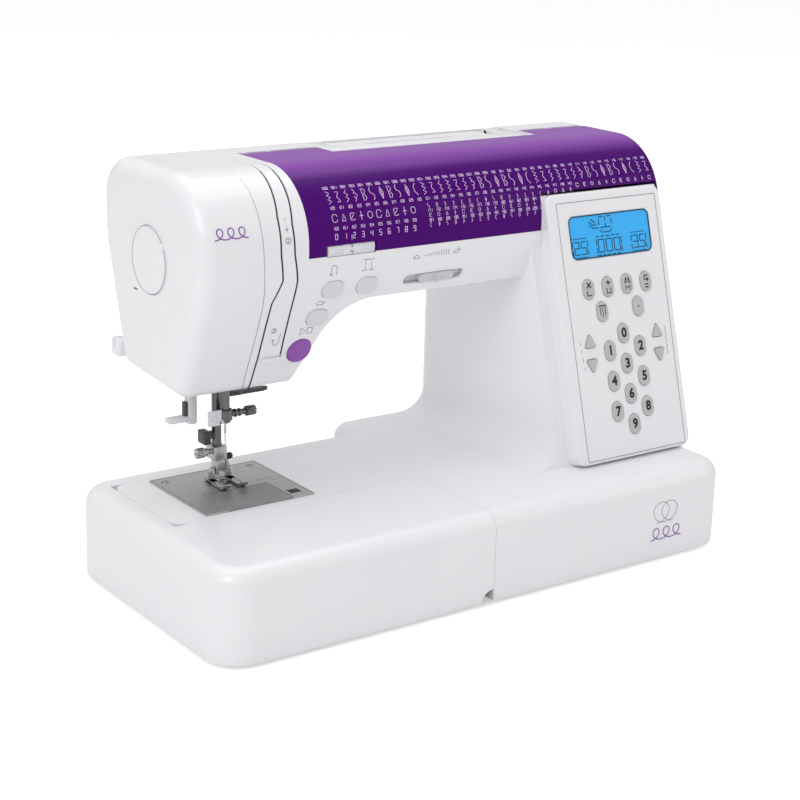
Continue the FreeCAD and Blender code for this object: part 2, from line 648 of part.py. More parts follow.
casting = [box("bed_bar", 60, 156, 14, 330, 24, 20), box("post", 366, 186, 8, 34, 24, 220),
           box("post_foot", 240, 150, 8, 170, 60, 8), box("beam", 100, 174, 205, 300, 28, 22),
           box("head_plate", 66, 174, 150, 60, 18, 77)]
bores = []
for name, along, x, y, z, length, width, height, radius in (
        ("needle_low", "z", 79, 140, 152, 17, 34.5, 10, S.needle_bar_radius),
        ("needle_high", "z", 79, 140, 190, 17, 34.5, 10, S.needle_bar_radius),
        ("shaft_left", "x", 140, 150, 206, 10, 24.5, 20, S.shaft_radius),
        ("shaft_right", "x", 392, 150, 206, 10, 24.5, 20, S.shaft_radius),
        ("hook_bearing", "z", 78, 112, 16, 18, 44.5, 12, S.hook_shaft)):
    bore_y = {"needle_low": S.needle_y, "needle_high": S.needle_y,
              "hook_bearing": S.hook_y}.get(name, S.shaft_y)
    lug, bore = bearing(name, along, x, y, z, length, width, height, S.needle_x, bore_y,
                        S.shaft_z, radius + running)
    casting.append(lug)
    bores.append(bore)
presser_bore = rod("presser_bore", "z", S.needle_x, presser_y, 140, S.presser_radius + running, 80)
casting.append(box("gusset", 126, 174, 190, 20, 18, 20))
part("frame_casting", cut("frame_casting", fuse("casting_blank", *casting), presser_bore, *bores))

# --- drive -----------------------------------------------------------------------------------

wheel_left = S.base_length + S.wheel_gap
shaft_start = S.needle_x + 14
shaft = rod("shaft_core", "x", shaft_start, S.shaft_y, S.shaft_z, S.shaft_radius,
            wheel_left + 10 - shaft_start)
pulley = rod("arm_pulley", "x", S.pulley_x, S.shaft_y, S.shaft_z, S.pulley_radius, S.pulley_width)
crank = rod("crank_disc", "x", shaft_start - 3, S.shaft_y, S.shaft_z, 12, 4)
crank_pin = rod("crank_pin", "x", shaft_start - 6, S.shaft_y, S.shaft_z + 8, 2.5, 4)
part("arm_shaft", fuse("arm_shaft", shaft, pulley, crank, crank_pin))

grip = S.wheel_radius
part("handwheel", turned(
    "handwheel", [(S.shaft_radius, 0), (12, 0), (12, 3), (grip - 6, 3), (grip - 3, 0),
                  (grip - 1, 1), (grip, 4), (grip, S.wheel_width - 5),
                  (grip - 2, S.wheel_width - 1.5), (grip - 6, S.wheel_width),
                  (grip - 11, S.wheel_width - 2), (0, S.wheel_width - 2), (0, 10),
                  (S.shaft_radius, 10)], along="x", x=wheel_left, y=S.shaft_y, z=S.shaft_z))

motor = [rod("motor_can", "x", 338, S.motor_y, S.motor_z, S.motor_radius, S.motor_length),
         rod("motor_nose", "x", 338 + S.motor_length, S.motor_y, S.motor_z, 8, 4),
         rod("motor_spindle", "x", 338 + S.motor_length, S.motor_y, S.motor_z, 3,
             S.pulley_x + S.pulley_width - 338 - S.motor_length),
         rod("motor_pulley_rim", "x", S.pulley_x, S.motor_y, S.motor_z, S.motor_pulley,
             S.pulley_width),
         box("motor_bracket", 350, 112, 16, 34, 43, S.motor_z - 28)]
part("main_motor", fuse("main_motor", *motor))


def belt_loop(extra):
    """The outline of a belt round both pulleys, grown by extra, as a face."""
    rounds = [(S.shaft_y, S.shaft_z, S.pulley_radius + extra),
              (S.motor_y, S.motor_z, S.motor_pulley + extra)]
    (y1, z1, r1), (y2, z2, r2) = [tuple(float(number) for number in item) for item in rounds]
    away = Vector(y2 - y1, z2 - z1, 0)
    tilt = math.acos((r1 - r2) / away.Length)
    heading = math.atan2(away.y, away.x)
    touch = []
    for side in (1, -1):
        ray = Vector(math.cos(heading + side * tilt), math.sin(heading + side * tilt), 0)
        touch.append((Vector(y1, z1, 0) + ray * r1, Vector(y2, z2, 0) + ray * r2))
    back = Vector(y1, z1, 0) - away.normalize() * r1
    front = Vector(y2, z2, 0) + away * r2
    edges = [Part.makeLine(touch[0][0], touch[0][1]),
             Part.Arc(touch[0][1], front, touch[1][1]).toShape(),
             Part.makeLine(touch[1][1], touch[1][0]),
             Part.Arc(touch[1][0], back, touch[0][0]).toShape()]
    face = Part.Face(Part.Wire(edges))
    face.rotate(Vector(), Vector(1, 1, 1), 120)
    return face


belt = belt_loop(float(S.clearance) + float(S.belt_thick)).cut(belt_loop(float(S.clearance)))
belt.translate(Vector(float(S.pulley_x) + 0.5, 0, 0))
part("drive_belt", shaped("drive_belt", belt.extrude(Vector(float(S.pulley_width) - 1, 0, 0))))

# --- sewing head -----------------------------------------------------------------------------

part("needle_bar", rod("needle_bar", "z", S.needle_x, S.needle_y, S.clamp_low,
                       S.needle_bar_radius, S.shaft_z - S.clamp_low + 6))
part("needle", turned(
    "needle", [(0, 0), (S.needle_radius, 3), (S.needle_radius, S.clamp_low - S.needle_tip - 10),
               (1, S.clamp_low - S.needle_tip - 8), (1, S.clamp_low - S.needle_tip),
               (0, S.clamp_low - S.needle_tip)], x=S.needle_x, y=S.needle_y, z=S.needle_tip))
clamp_ring = rod("clamp_ring", "z", S.needle_x, S.needle_y, S.clamp_low, 5.4,
                 S.clamp_high - S.clamp_low)
clamp_bore = rod("clamp_bore", "z", S.needle_x, S.needle_y, S.clamp_low - 1, S.needle_bar_radius,
                 S.clamp_high - S.clamp_low + 2)
screw_z = (S.clamp_low + S.clamp_high) / 2
clamp_screw = [rod("screw_stem", "x", S.needle_x + 4.4, S.needle_y, screw_z, 2, 12),
               rod("screw_head", "x", S.needle_x + 16, S.needle_y, screw_z, 3.6, 8)]
part("needle_clamp", fuse("needle_clamp", cut("clamp_body", clamp_ring, clamp_bore), *clamp_screw))

holder_low, holder_high = plate_top + 12.5, plate_top + 27.5
part("presser_bar", rod("presser_bar", "z", S.needle_x, presser_y, holder_low + 3,
                        S.presser_radius, S.shaft_z - holder_low))
hinge_y, hinge_z = presser_y - 5, plate_top + 8.5
holder = fuse("holder_blank",
              box("holder_block", S.needle_x - 5.5, presser_y - 6, holder_low, 11, 13,
                  holder_high - holder_low),
              box("holder_hook", S.needle_x - 3, presser_y - 9, hinge_z - 2.6, 6, 9,
                  holder_low - hinge_z + 3),
              rod("thumb_screw", "x", S.needle_x - 21, presser_y, holder_high - 5, 4.2, 12),
              rod("thumb_stem", "x", S.needle_x - 10, presser_y, holder_high - 5, 2, 6))
part("foot_holder", cut("foot_holder", holder,
                        rod("bar_socket", "z", S.needle_x, presser_y, holder_low + 3,
                            S.presser_radius, 30),
                        rod("pin_groove", "x", S.needle_x - 10, hinge_y, hinge_z,
                            1 + running, 20),
                        box("pin_mouth", S.needle_x - 10, hinge_y - 8, hinge_z - 3, 20, 6, 5)))

sole = box("sole", S.needle_x - 10, S.needle_y - 16, plate_top + S.gap, 20, 24.5, 2.6)
heel = box("heel", S.needle_x - 10, S.needle_y + 8, plate_top + S.gap + 1.4, 20, 6, 1.2)
cheeks = [box(f"cheek_{side}", S.needle_x + offset, hinge_y - 3.5, plate_top + 2, 3.4, 7, 9.5)
          for side, offset in (("left", -6.8), ("right", 3.4))]
foot_pin = rod("foot_pin", "x", S.needle_x - 6.8, hinge_y, hinge_z, 1, 13.6)
toe_slot = box("toe_slot", S.needle_x - 4, S.needle_y - 20, plate_top - 2, 8, 23, 8)
part("presser_foot", cut("presser_foot", fuse("foot_blank", sole, heel, *cheeks, foot_pin), toe_slot))

release_arm = box("release_arm", S.needle_x + 5.8, presser_y - 4, holder_low + 2, 2.4, 8, 4)
release_ball = doc.addObject("Part::Sphere", "release_ball")
bind(release_ball, Radius=2.6)
place(release_ball, S.needle_x + 9.4, presser_y - 2, holder_low + 4)
part("foot_release", fuse("foot_release", release_arm, release_ball))

threader_x = S.needle_x - S.threader_side
part("needle_threader", fuse(
    "needle_threader", rod("threader_stem", "z", threader_x, presser_y, S.threader_foot, 2, 60),
    box("threader_thumb", S.head_left + 4, presser_y - 4, S.threader_foot,
        threader_x - S.head_left - 1, 8, 4),
    box("threader_rise", threader_x - 6, presser_y - 4, S.threader_foot - 4, 9, 8, 16)))

lifter_x, lifter_y = S.needle_x + S.lifter_side, presser_y + 12
part("presser_lifter", fuse(
    "presser_lifter", rod("lifter_post", "z", lifter_x, lifter_y, S.lifter_foot, 4, 24.5),
    box("lifter_blade", lifter_x, lifter_y - 4, S.lifter_foot, S.lifter_reach, 8, 3)))

lever_x, pivot_y, pivot_z, eye_y, eye_z = (
    float(value) for value in (S.lever_x, S.pivot_y, S.pivot_z, S.eye_y, S.eye_z))
lever_run = math.hypot(eye_y - pivot_y, eye_z - pivot_z)
lever_face = Part.makeBox(2, lever_run + 8, 7, Vector(0, -lever_run - 4, -3.5))
lever_face.rotate(Vector(), Vector(1, 0, 0), -math.degrees(math.atan2(eye_z - pivot_z, pivot_y - eye_y)))
lever_face.translate(Vector(lever_x, pivot_y, pivot_z))
lever_eye = bar("x", lever_x - 1, eye_y, eye_z, 1.4, 4)
part("take_up_lever", shaped("take_up_lever", lever_face.cut(lever_eye).fuse(
    bar("x", lever_x - 1, pivot_y, pivot_z, 5, 5)).removeSplitter()))

# --- lid, handle and what stands under the lid -----------------------------------------------

lid_shell = upper_form().cut(upper_form(S.wall))
lid_space = between((S.lid_left + S.gap, beyond), (0, S.lid_back), (S.lid_edge, 400)).fuse(
    between((S.base_length - S.wall - 1, beyond), (S.lid_back - 1, S.rear_wall - 0.8),
            (S.lid_edge, S.hinge_z - 6)))
lid = lid_shell.common(lid_space)
lid = lid.cut(between((S.panel_left - 1.5, S.base_length - 1.6), (60, 112.5), (200, 261.5)))
lid = lid.cut(between((S.notch_left - 1, S.notch_right + 1), (S.notch_front, 300), (240, 400)))
lid = lid.cut(dial_opening(20.5))
knuckles = []
for start in (S.lid_left + 8, S.base_length - 32):
    knuckles.append(bar("x", start, S.hinge_y, S.hinge_z, S.knuckle, 16))
    knuckles.append(between((start, start + 16), (S.lid_back - 4, S.hinge_y),
                            (S.hinge_z - 1, S.hinge_z + 0.6)))
bores = [bar("x", start, S.hinge_y, S.hinge_z, S.hinge_pin + running, 16)
         for start in (S.lid_left + 8, S.base_length - 32)]
lid = lid.fuse(knuckles).removeSplitter()
for bore in bores:
    lid = lid.cut(bore)
part("top_lid", shaped("top_lid", lid))

handle_left, handle_right = S.well_left + S.handle_gap, S.well_right - S.handle_gap
handle_front = S.well_front + S.handle_gap
handle_low = S.handle_pivot_z - S.grip_thick / 2
handle_arm_run = S.handle_pivot_y - handle_front
pieces = [box("grip_bar", handle_left, handle_front, handle_low,
              handle_right - handle_left, S.grip_depth, S.grip_thick)]
for side, x, out in (("left", handle_left, handle_left - 3.5),
                     ("right", handle_right - S.handle_arm, handle_right - 0.5)):
    pieces.append(box(f"handle_arm_{side}", x, handle_front, handle_low, S.handle_arm,
                      handle_arm_run, S.grip_thick))
    pieces.append(rod(f"handle_eye_{side}", "x", x, S.handle_pivot_y, S.handle_pivot_z,
                      S.grip_thick / 2, S.handle_arm))
    pieces.append(rod(f"handle_pin_{side}", "x", out, S.handle_pivot_y, S.handle_pivot_z,
                      S.handle_pin, 4))
part("carry_handle", fuse("carry_handle", *pieces))

part("spool_pin", fuse(
    "spool_pin", rod("pin_rod", "x", 232, 140, 262, 3, 66),
    rod("pin_flange", "x", 292, 140, 262, 11, 3),
    box("pin_post", 298, 134, S.deck_top, 10, 12, 34)))
part("bobbin_winder", fuse(
    "bobbin_winder", rod("winder_spindle", "z", 397, 150, S.deck_top - 6, 2.9, 30),
    rod("winder_disc", "z", 397, 150, S.deck_top + 0.2, 9, 3),
    rod("winder_keeper", "z", 397, 150, S.deck_top - 6, 5, 3)))

# --- controls --------------------------------------------------------------------------------

for name, (across, height) in BUTTONS.items():
    part(name, oval(name, S.button_high, S.button_long, S.button_proud + 4, spin=90,
                    **on_face(across, height, -4)))
part("start_stop_button", turned("start_stop_button", [
    (0, 0), (S.start_radius, 0), (S.start_radius, 4.4), (S.start_radius - 1, S.button_proud + 4),
    (0, S.button_proud + 4)]))
place(parts["start_stop_button"], **on_face(*START, -4))

slider = slot_shape(30, S.slider_width - 1, -3.6, 1.2).fuse(slot_shape(38, 16, -5, -3.5))
slider = slider.fuse(block(-1.5, -3, 1, 3, 6, 2.2)).removeSplitter()
part("speed_slider", shaped("speed_slider", slider, **on_face(SLIDER + 2, 210.4)))
part("tension_dial", turned("tension_dial", [
    (0, 0), (S.dial_radius - 1, 0), (S.dial_radius, 1), (S.dial_radius, S.dial_width - 1),
    (S.dial_radius - 1, S.dial_width), (0, S.dial_width)],
    along="x", x=DIAL_X - S.dial_width / 2, y=S.dial_y, z=S.dial_z))
dial_edge = S.pressure_radius
part("pressure_dial", turned("pressure_dial", [
    (0, 0.4), (6, 0.2), (dial_edge - 4, 0.6), (dial_edge - 3, 0), (dial_edge - 0.6, 0),
    (dial_edge, 0.6), (dial_edge, 3.6), (dial_edge + 2.5, 3.6), (dial_edge + 2.5, 5.6),
    (0, 5.6)], along="x", x=S.head_left - 0.8, y=S.pressure_y, z=S.pressure_z))
part("power_switch", box("power_switch", S.base_length - 7, S.switch_y - 6.5, S.switch_z - 11.2,
                         7.8, 13, 22.4))

# --- control panel, screen and keys ----------------------------------------------------------

panel = prism(panel_blank, "xy", -S.panel_thick, S.panel_thick)
panel = softened(panel, 2.5, lambda e: reach(e).ZMin > -0.01)
panel = panel.cut(prism(panel_blank, "xy", -S.panel_thick - 1, S.panel_thick + 1 - S.wall, S.wall))
screen_u, screen_v = S.screen_left - S.panel_left, S.screen_foot
panel = panel.cut(block(screen_u - S.gap, screen_v - S.gap, -5, S.screen_width + 2 * S.gap,
                        S.screen_length + 2 * S.gap, 10))

KEYS = {"clear_key": (-1.5 * S.function_pitch, S.function_row),
        "memory_key": (-0.5 * S.function_pitch, S.function_row),
        "mirror_key": (0.5 * S.function_pitch, S.function_row),
        "repeat_key": (1.5 * S.function_pitch, S.function_row),
        "needle_key": (-1 * S.second_column, S.second_row),
        "density_key": (S.second_column, S.second_row)}
DIGIT_SPOTS = [(0, 0), (-1, 1), (1, 1), (0, 2), (-1, 3), (1, 3), (0, 4), (-1, 5), (1, 5), (0, 6)]
for digit, (column, line) in enumerate(DIGIT_SPOTS):
    KEYS[f"digit_key_{digit}"] = (column * S.digit_column, S.digit_top - line * S.key_pitch)
ROCKERS = {"width_rocker": -1 * S.rocker_column, "length_rocker": 1 * S.rocker_column}


def triangle(middle, up, low, high, around=0):
    """A triangular pad pointing up the panel (up = 1) or down it (up = -1)."""
    half = float(S.rocker_key) / 2
    tip = (middle[0], middle[1] + up * half, 1)
    feet = [(middle[0] - half, middle[1] - up * half, 1), (middle[0] + half, middle[1] - up * half, 1)]
    ordered = [feet[0], feet[1], tip] if up > 0 else [feet[1], feet[0], tip]
    return prism(ordered, "xy", low, high - low, -around)


for across, up in KEYS.values():
    hole = slot_shape(S.key_width, S.key_length, -6, 3, S.gap)
    hole.translate(Vector(float(S.key_centre - S.panel_left + across), float(up), 0))
    panel = panel.cut(hole)
for across in ROCKERS.values():
    middle = float(S.key_centre - S.panel_left + across)
    for up in (1, -1):
        spot = (middle, float(S.rocker_middle + up * S.rocker_reach))
        panel = panel.cut(triangle(spot, up, -6, 3, 0.5))
sill = between((-50, beyond), (-50, 400), (-40, S.bed_top + S.gap))
stance = on_panel(S.panel_left, 0)
spot = Placement(Vector(*(float(stance[key]) for key in "xyz")),
                 Rotation(Vector(1, 0, 0), float(stance["angle"])))
sill.Placement = spot.inverse()
panel = panel.cut(sill)
part("control_panel", shaped("control_panel", panel, **stance))

screen = block(screen_u, screen_v, -3, S.screen_width, S.screen_length, 2.6).fuse(
    block(screen_u - 4, screen_v - 4, -7, S.screen_width + 8, S.screen_length + 8, 4.2))
part("lcd_module", shaped("lcd_module", screen.removeSplitter(), **stance))
part("circuit_board", shaped("circuit_board", block(6, 8, 0.5 - S.panel_thick, S.panel_width - 12,
                                                    S.panel_length - 16, 1.6), **stance))
for name, (across, up) in KEYS.items():
    part(name, oval(name, S.key_width, S.key_length, S.key_proud + 4.5,
                    **on_panel(S.key_centre + across, up, -4.5)))
for name, across in ROCKERS.items():
    middle = float(S.key_centre - S.panel_left + across)
    low, high = float(S.rocker_middle - S.rocker_reach), float(S.rocker_middle + S.rocker_reach)
    rocker = triangle((middle, low), -1, -4.5, float(S.key_proud)).fuse(
        [triangle((middle, high), 1, -4.5, float(S.key_proud)),
         between((middle - 2.5, middle + 2.5), (low - 3, high + 3), (-6.5, -4.4))])
    part(name, shaped(name, rocker.removeSplitter(), **stance))

# --- check and write -------------------------------------------------------------------------

doc.recompute()
for thing in doc.Objects:
    if "Invalid" in thing.State or "Error" in thing.State:
        raise RuntimeError(f"{thing.Name} failed: {thing.State}")
os.makedirs("parts", exist_ok=True)
for name, thing in sorted(parts.items()):
    shape = thing.Shape
    if shape.isNull() or not shape.isValid() or not shape.Solids:
        raise RuntimeError(f"{name} has no valid solid")
    shape.exportStep(f"parts/{name}.step")
print(len(parts), "sub-parts written")
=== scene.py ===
import math
import bpy
from mathutils import Matrix, Vector


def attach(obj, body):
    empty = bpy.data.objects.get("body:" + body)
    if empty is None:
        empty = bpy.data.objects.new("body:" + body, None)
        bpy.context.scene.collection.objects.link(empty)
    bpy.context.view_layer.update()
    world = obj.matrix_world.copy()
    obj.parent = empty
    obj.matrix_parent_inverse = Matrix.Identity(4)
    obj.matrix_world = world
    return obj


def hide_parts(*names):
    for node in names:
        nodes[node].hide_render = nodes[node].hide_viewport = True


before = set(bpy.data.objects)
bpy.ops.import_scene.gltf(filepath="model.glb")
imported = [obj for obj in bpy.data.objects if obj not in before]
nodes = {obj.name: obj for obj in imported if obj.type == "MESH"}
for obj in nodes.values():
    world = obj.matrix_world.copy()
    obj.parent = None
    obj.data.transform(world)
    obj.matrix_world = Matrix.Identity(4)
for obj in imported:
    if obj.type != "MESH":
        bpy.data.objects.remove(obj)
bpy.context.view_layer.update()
scene = bpy.context.scene
print("stage: frame loaded,", len(nodes), "nodes")

middleX, middleY = 0.231, 0.1185  # the frame's origin, from the machine's left end and front
tilt = math.radians(16)           # lean of the control panel
slant = math.atan2(33.3, 83)      # lean of the arm's lower front


def spot(x, y, z):  # millimetres from the left end, the front and the table
    return Vector((x / 1000 - middleX, y / 1000 - middleY, z / 1000))


def panelSpot(across, up, out=0):  # a point of the leaning panel's own plane
    return spot(across, 40 + up * math.sin(tilt) - out * math.cos(tilt),
                68.5 + up * math.cos(tilt) + out * math.sin(tilt))


armFront, flatLow, flatHigh, flatRun = 96, 233.9, 242, 8.1  # the upright band of the arm's front
chinRadius, chinRun, chinLow, chinFront = 60, 22.9, 211.5, 100.3  # the curve below the band
browRadius, browRun, armTop = 50, 86.64, 292  # the curve above it, up to the flat top


def coverSpot(x, run, out=0):  # a point on the arm's front, run is the way up from flatLow
    if run < -chinRun:
        past = -run - chinRun
        y, z = chinFront + past * math.sin(slant), chinLow - past * math.cos(slant)
        ny, nz = -math.cos(slant), -math.sin(slant)
    elif run < 0:
        turn = -run / chinRadius
        ny, nz = -math.cos(turn), -math.sin(turn)
        y, z = armFront + chinRadius + chinRadius * ny, flatLow + chinRadius * nz
    elif run < flatRun:
        y, z, ny, nz = armFront, flatLow + run, -1, 0
    elif run < browRun:
        turn = (run - flatRun) / browRadius
        ny, nz = -math.cos(turn), math.sin(turn)
        y, z = armFront + browRadius + browRadius * ny, flatHigh + browRadius * nz
    else:
        y, z, ny, nz = armFront + browRadius + run - browRun, armTop, 0, 1
    return spot(x, y + ny * out, z + nz * out)


def runAt(z):  # the run that reaches height z on the arm's front
    if z < chinLow:
        return -chinRun - (chinLow - z) / math.cos(slant)
    if z < flatLow:
        return -chinRadius * math.asin((flatLow - z) / chinRadius)
    if z < flatHigh:
        return z - flatLow
    return flatRun + browRadius * math.asin(min(1, (z - flatHigh) / browRadius))


# materials


def link(tree, a, b):
    tree.links.new(a, b)


def newGroup(name, inputs, outputs):
    group = bpy.data.node_groups.new(name, "ShaderNodeTree")
    for label, kind, value in inputs:
        socket = group.interface.new_socket(label, in_out="INPUT", socket_type=kind)
        socket.default_value = value
    for label, kind in outputs:
        group.interface.new_socket(label, in_out="OUTPUT", socket_type=kind)
    return group, group.nodes.new("NodeGroupInput"), group.nodes.new("NodeGroupOutput")


def makeMottle():  # slow colour change over a moulding, and the dust that dulls its gloss
    group, given, made = newGroup("mouldMottle", [
        ("Colour", "NodeSocketColor", (0.8, 0.8, 0.8, 1)), ("Shade", "NodeSocketColor", (0.6, 0.6, 0.6, 1)),
        ("Vector", "NodeSocketVector", (0, 0, 0)), ("Scale", "NodeSocketFloat", 30.0),
        ("Dull", "NodeSocketFloat", 0.3), ("Spread", "NodeSocketFloat", 0.05)],
        [("Colour", "NodeSocketColor"), ("Roughness", "NodeSocketFloat")])
    noise = group.nodes.new("ShaderNodeTexNoise")
    noise.inputs["Detail"].default_value = 3
    mix = group.nodes.new("ShaderNodeMix")
    mix.data_type = "RGBA"
    scale = group.nodes.new("ShaderNodeMath")
    scale.operation = "MULTIPLY_ADD"
    link(group, given.outputs["Vector"], noise.inputs["Vector"])
    link(group, given.outputs["Scale"], noise.inputs["Scale"])
    link(group, noise.outputs["Fac"], mix.inputs["Factor"])
    link(group, given.outputs["Colour"], mix.inputs["A"])
    link(group, given.outputs["Shade"], mix.inputs["B"])
    link(group, mix.outputs["Result"], made.inputs["Colour"])
    link(group, noise.outputs["Fac"], scale.inputs[0])
    link(group, given.outputs["Spread"], scale.inputs[1])
    link(group, given.outputs["Dull"], scale.inputs[2])
    link(group, scale.outputs[0], made.inputs["Roughness"])
    return group


def makeGrain():  # fine texture of a spark-eroded mould or a cast skin
    group, given, made = newGroup("mouldGrain", [
        ("Vector", "NodeSocketVector", (0, 0, 0)), ("Scale", "NodeSocketFloat", 900.0)],
        [("Height", "NodeSocketFloat")])
    noise = group.nodes.new("ShaderNodeTexNoise")
    noise.inputs["Detail"].default_value = 2
    link(group, given.outputs["Vector"], noise.inputs["Vector"])
    link(group, given.outputs["Scale"], noise.inputs["Scale"])
    link(group, noise.outputs["Fac"], made.inputs["Height"])
    return group


def makeBrushing():  # fine lines of a brushed or ground metal face
    group, given, made = newGroup("metalBrushing", [
        ("Vector", "NodeSocketVector", (0, 0, 0)), ("Along", "NodeSocketVector", (4, 900, 900)),
        ("Light", "NodeSocketColor", (0.7, 0.7, 0.7, 1)), ("Dark", "NodeSocketColor", (0.5, 0.5, 0.5, 1)),
        ("Dull", "NodeSocketFloat", 0.3)],
        [("Colour", "NodeSocketColor"), ("Roughness", "NodeSocketFloat"), ("Height", "NodeSocketFloat")])
    stretch = group.nodes.new("ShaderNodeVectorMath")
    stretch.operation = "MULTIPLY"
    noise = group.nodes.new("ShaderNodeTexNoise")
    noise.inputs["Scale"].default_value = 1
    noise.inputs["Detail"].default_value = 4
    mix = group.nodes.new("ShaderNodeMix")
    mix.data_type = "RGBA"
    rough = group.nodes.new("ShaderNodeMath")
    rough.operation = "MULTIPLY_ADD"
    rough.inputs[1].default_value = 0.15
    link(group, given.outputs["Vector"], stretch.inputs[0])
    link(group, given.outputs["Along"], stretch.inputs[1])
    link(group, stretch.outputs[0], noise.inputs["Vector"])
    link(group, noise.outputs["Fac"], mix.inputs["Factor"])
    link(group, given.outputs["Dark"], mix.inputs["A"])
    link(group, given.outputs["Light"], mix.inputs["B"])
    link(group, mix.outputs["Result"], made.inputs["Colour"])
    link(group, noise.outputs["Fac"], rough.inputs[0])
    link(group, given.outputs["Dull"], rough.inputs[2])
    link(group, rough.outputs[0], made.inputs["Roughness"])
    link(group, noise.outputs["Fac"], made.inputs["Height"])
    return group


mottle, grain, brushing = makeMottle(), makeGrain(), makeBrushing()


def hue(code):  # a screen colour as the linear colour that nodes take
    parts = [int(code[i:i + 2], 16) / 255 for i in (0, 2, 4)]
    return tuple(p / 12.92 if p <= 0.04045 else ((p + 0.055) / 1.055) ** 2.4 for p in parts) + (1,)


finish = {}  # every material by name


def startMaterial(name):
    material = bpy.data.materials.new(name)
    finish[name] = material
    material.use_nodes = True
    tree = material.node_tree
    shader = tree.nodes["Principled BSDF"]
    where = tree.nodes.new("ShaderNodeTexCoord")
    return material, tree, shader, where.outputs["Object"]


def addGroup(tree, group, **values):
    node = tree.nodes.new("ShaderNodeGroup")
    node.node_tree = group
    for key, value in values.items():
        node.inputs[key].default_value = value
    return node


def addBump(tree, shader, group, depth):  # fine relief from a group's height
    bump = tree.nodes.new("ShaderNodeBump")
    bump.inputs["Strength"].default_value = depth
    bump.inputs["Distance"].default_value = 0.0001
    link(tree, group.outputs["Height"], bump.inputs["Height"])
    link(tree, bump.outputs["Normal"], shader.inputs["Normal"])


def moulded(name, colour, shade, dull=0.3, spread=0.08, scale=25.0, grainScale=900.0, depth=0.0,
            coat=0.0, coatDull=0.08, alpha=1.0, through=0.0, glow=None, shine=0.5):
    material, tree, shader, where = startMaterial(name)
    paint = addGroup(tree, mottle, Colour=hue(colour), Shade=hue(shade), Scale=scale, Dull=dull,
                     Spread=spread)
    link(tree, where, paint.inputs["Vector"])
    link(tree, paint.outputs["Colour"], shader.inputs["Base Color"])
    link(tree, paint.outputs["Roughness"], shader.inputs["Roughness"])
    if depth:
        skin = addGroup(tree, grain, Scale=grainScale)
        link(tree, where, skin.inputs["Vector"])
        addBump(tree, shader, skin, depth)
    for key, value in {"Specular IOR Level": shine, "Coat Weight": coat, "Coat Roughness": coatDull,
                       "Alpha": alpha, "Transmission Weight": through}.items():
        shader.inputs[key].default_value = value
    if glow is not None:
        link(tree, paint.outputs["Colour"], shader.inputs["Emission Color"])
        shader.inputs["Emission Strength"].default_value = glow
    return material


def metal(name, light, dark, along=(900, 4, 900), dull=0.25, depth=0.15):
    material, tree, shader, where = startMaterial(name)
    lines = addGroup(tree, brushing, Light=hue(light), Dark=hue(dark), Along=along, Dull=dull)
    link(tree, where, lines.inputs["Vector"])
    link(tree, lines.outputs["Colour"], shader.inputs["Base Color"])
    link(tree, lines.outputs["Roughness"], shader.inputs["Roughness"])
    shader.inputs["Metallic"].default_value = 1
    addBump(tree, shader, lines, depth)
    return material


moulded("whiteBody", "F8F7FA", "F4F3F7", 0.24, 0.05, 14, coat=0.35, coatDull=0.12)
moulded("purpleLid", "48006C", "4F0076", 0.3, 0.06, 12, coat=0.1, coatDull=0.16, shine=0.06)
moulded("panelWhite", "F7F6F9", "F2F1F5", 0.28, 0.05, 18, coat=0.2)
moulded("keyGrey", "C9CACB", "BDBFC0", 0.5, 0.1, 60, depth=0.3)
moulded("buttonGrey", "E9E8EC", "E1E0E5", 0.34, 0.08, 50, depth=0.1)
moulded("startPurple", "9A4FB8", "8B40A8", 0.3, 0.08, 60, coat=0.4)
moulded("slideGrey", "D8D7DA", "CDCCD0", 0.36, 0.1, 40, depth=0.15)
moulded("dialGrey", "EEEDF1", "E6E5EA", 0.4, 0.1, 60, depth=0.1)
moulded("basePlastic", "D5D4D9", "C8C7CD", 0.5, 0.12, 30, depth=0.3)
moulded("feetRubber", "1A1A1C", "26262A", 0.75, 0.15, 50, depth=0.4)
moulded("smokedWindow", "A5A4A7", "B2B1B4", 0.12, 0.05, 30, alpha=0.5, coat=0.3)
moulded("hookBlack", "202022", "2A2A2D", 0.35, 0.1, 60, depth=0.2)
moulded("bobbinClear", "D6D6DA", "E2E2E6", 0.15, 0.05, 60, coat=0.3)
moulded("motorPaint", "2C2C30", "38383D", 0.45, 0.1, 40, depth=0.2)
moulded("beltRubber", "131313", "1C1C1D", 0.7, 0.1, 80, depth=0.4)
moulded("releaseBlack", "0C0C0D", "151516", 0.18, 0.05, 80, coat=0.5)
moulded("threaderWhite", "ECECF0", "E2E2E7", 0.3, 0.08, 60, coat=0.2)
moulded("lifterGrey", "3A393D", "444347", 0.35, 0.1, 60, coat=0.2)
moulded("switchBlack", "141416", "1D1D20", 0.35, 0.1, 60, coat=0.2)
moulded("screenBlue", "03A0E8", "0CA8EC", 0.25, 0.04, 20, coat=0.15, glow=0.22)
moulded("boardGreen", "0E4A24", "15592D", 0.4, 0.1, 60, depth=0.2)
metal("plateSteel", "D9D8D8", "B3B2B2", (4, 900, 900), 0.34)
metal("feedSteel", "A0A0A2", "7C7C7E", (900, 6, 900), 0.3)
metal("castAlloy", "B0B0B2", "98989A", (300, 300, 300), 0.45, 0.5)
metal("groundSteel", "B8B8BB", "98989B", (6, 900, 900), 0.2)
metal("barChrome", "D5D5D7", "B9B9BB", (900, 900, 6), 0.08, 0.04)
metal("clampSteel", "8E8D8F", "5E5D5F", (700, 700, 40), 0.25, 0.2)
metal("holderSteel", "D4D4D6", "B4B4B6", (700, 700, 20), 0.22, 0.1)
metal("footChrome", "D0D0D1", "9C9C9E", (40, 700, 700), 0.12, 0.06)


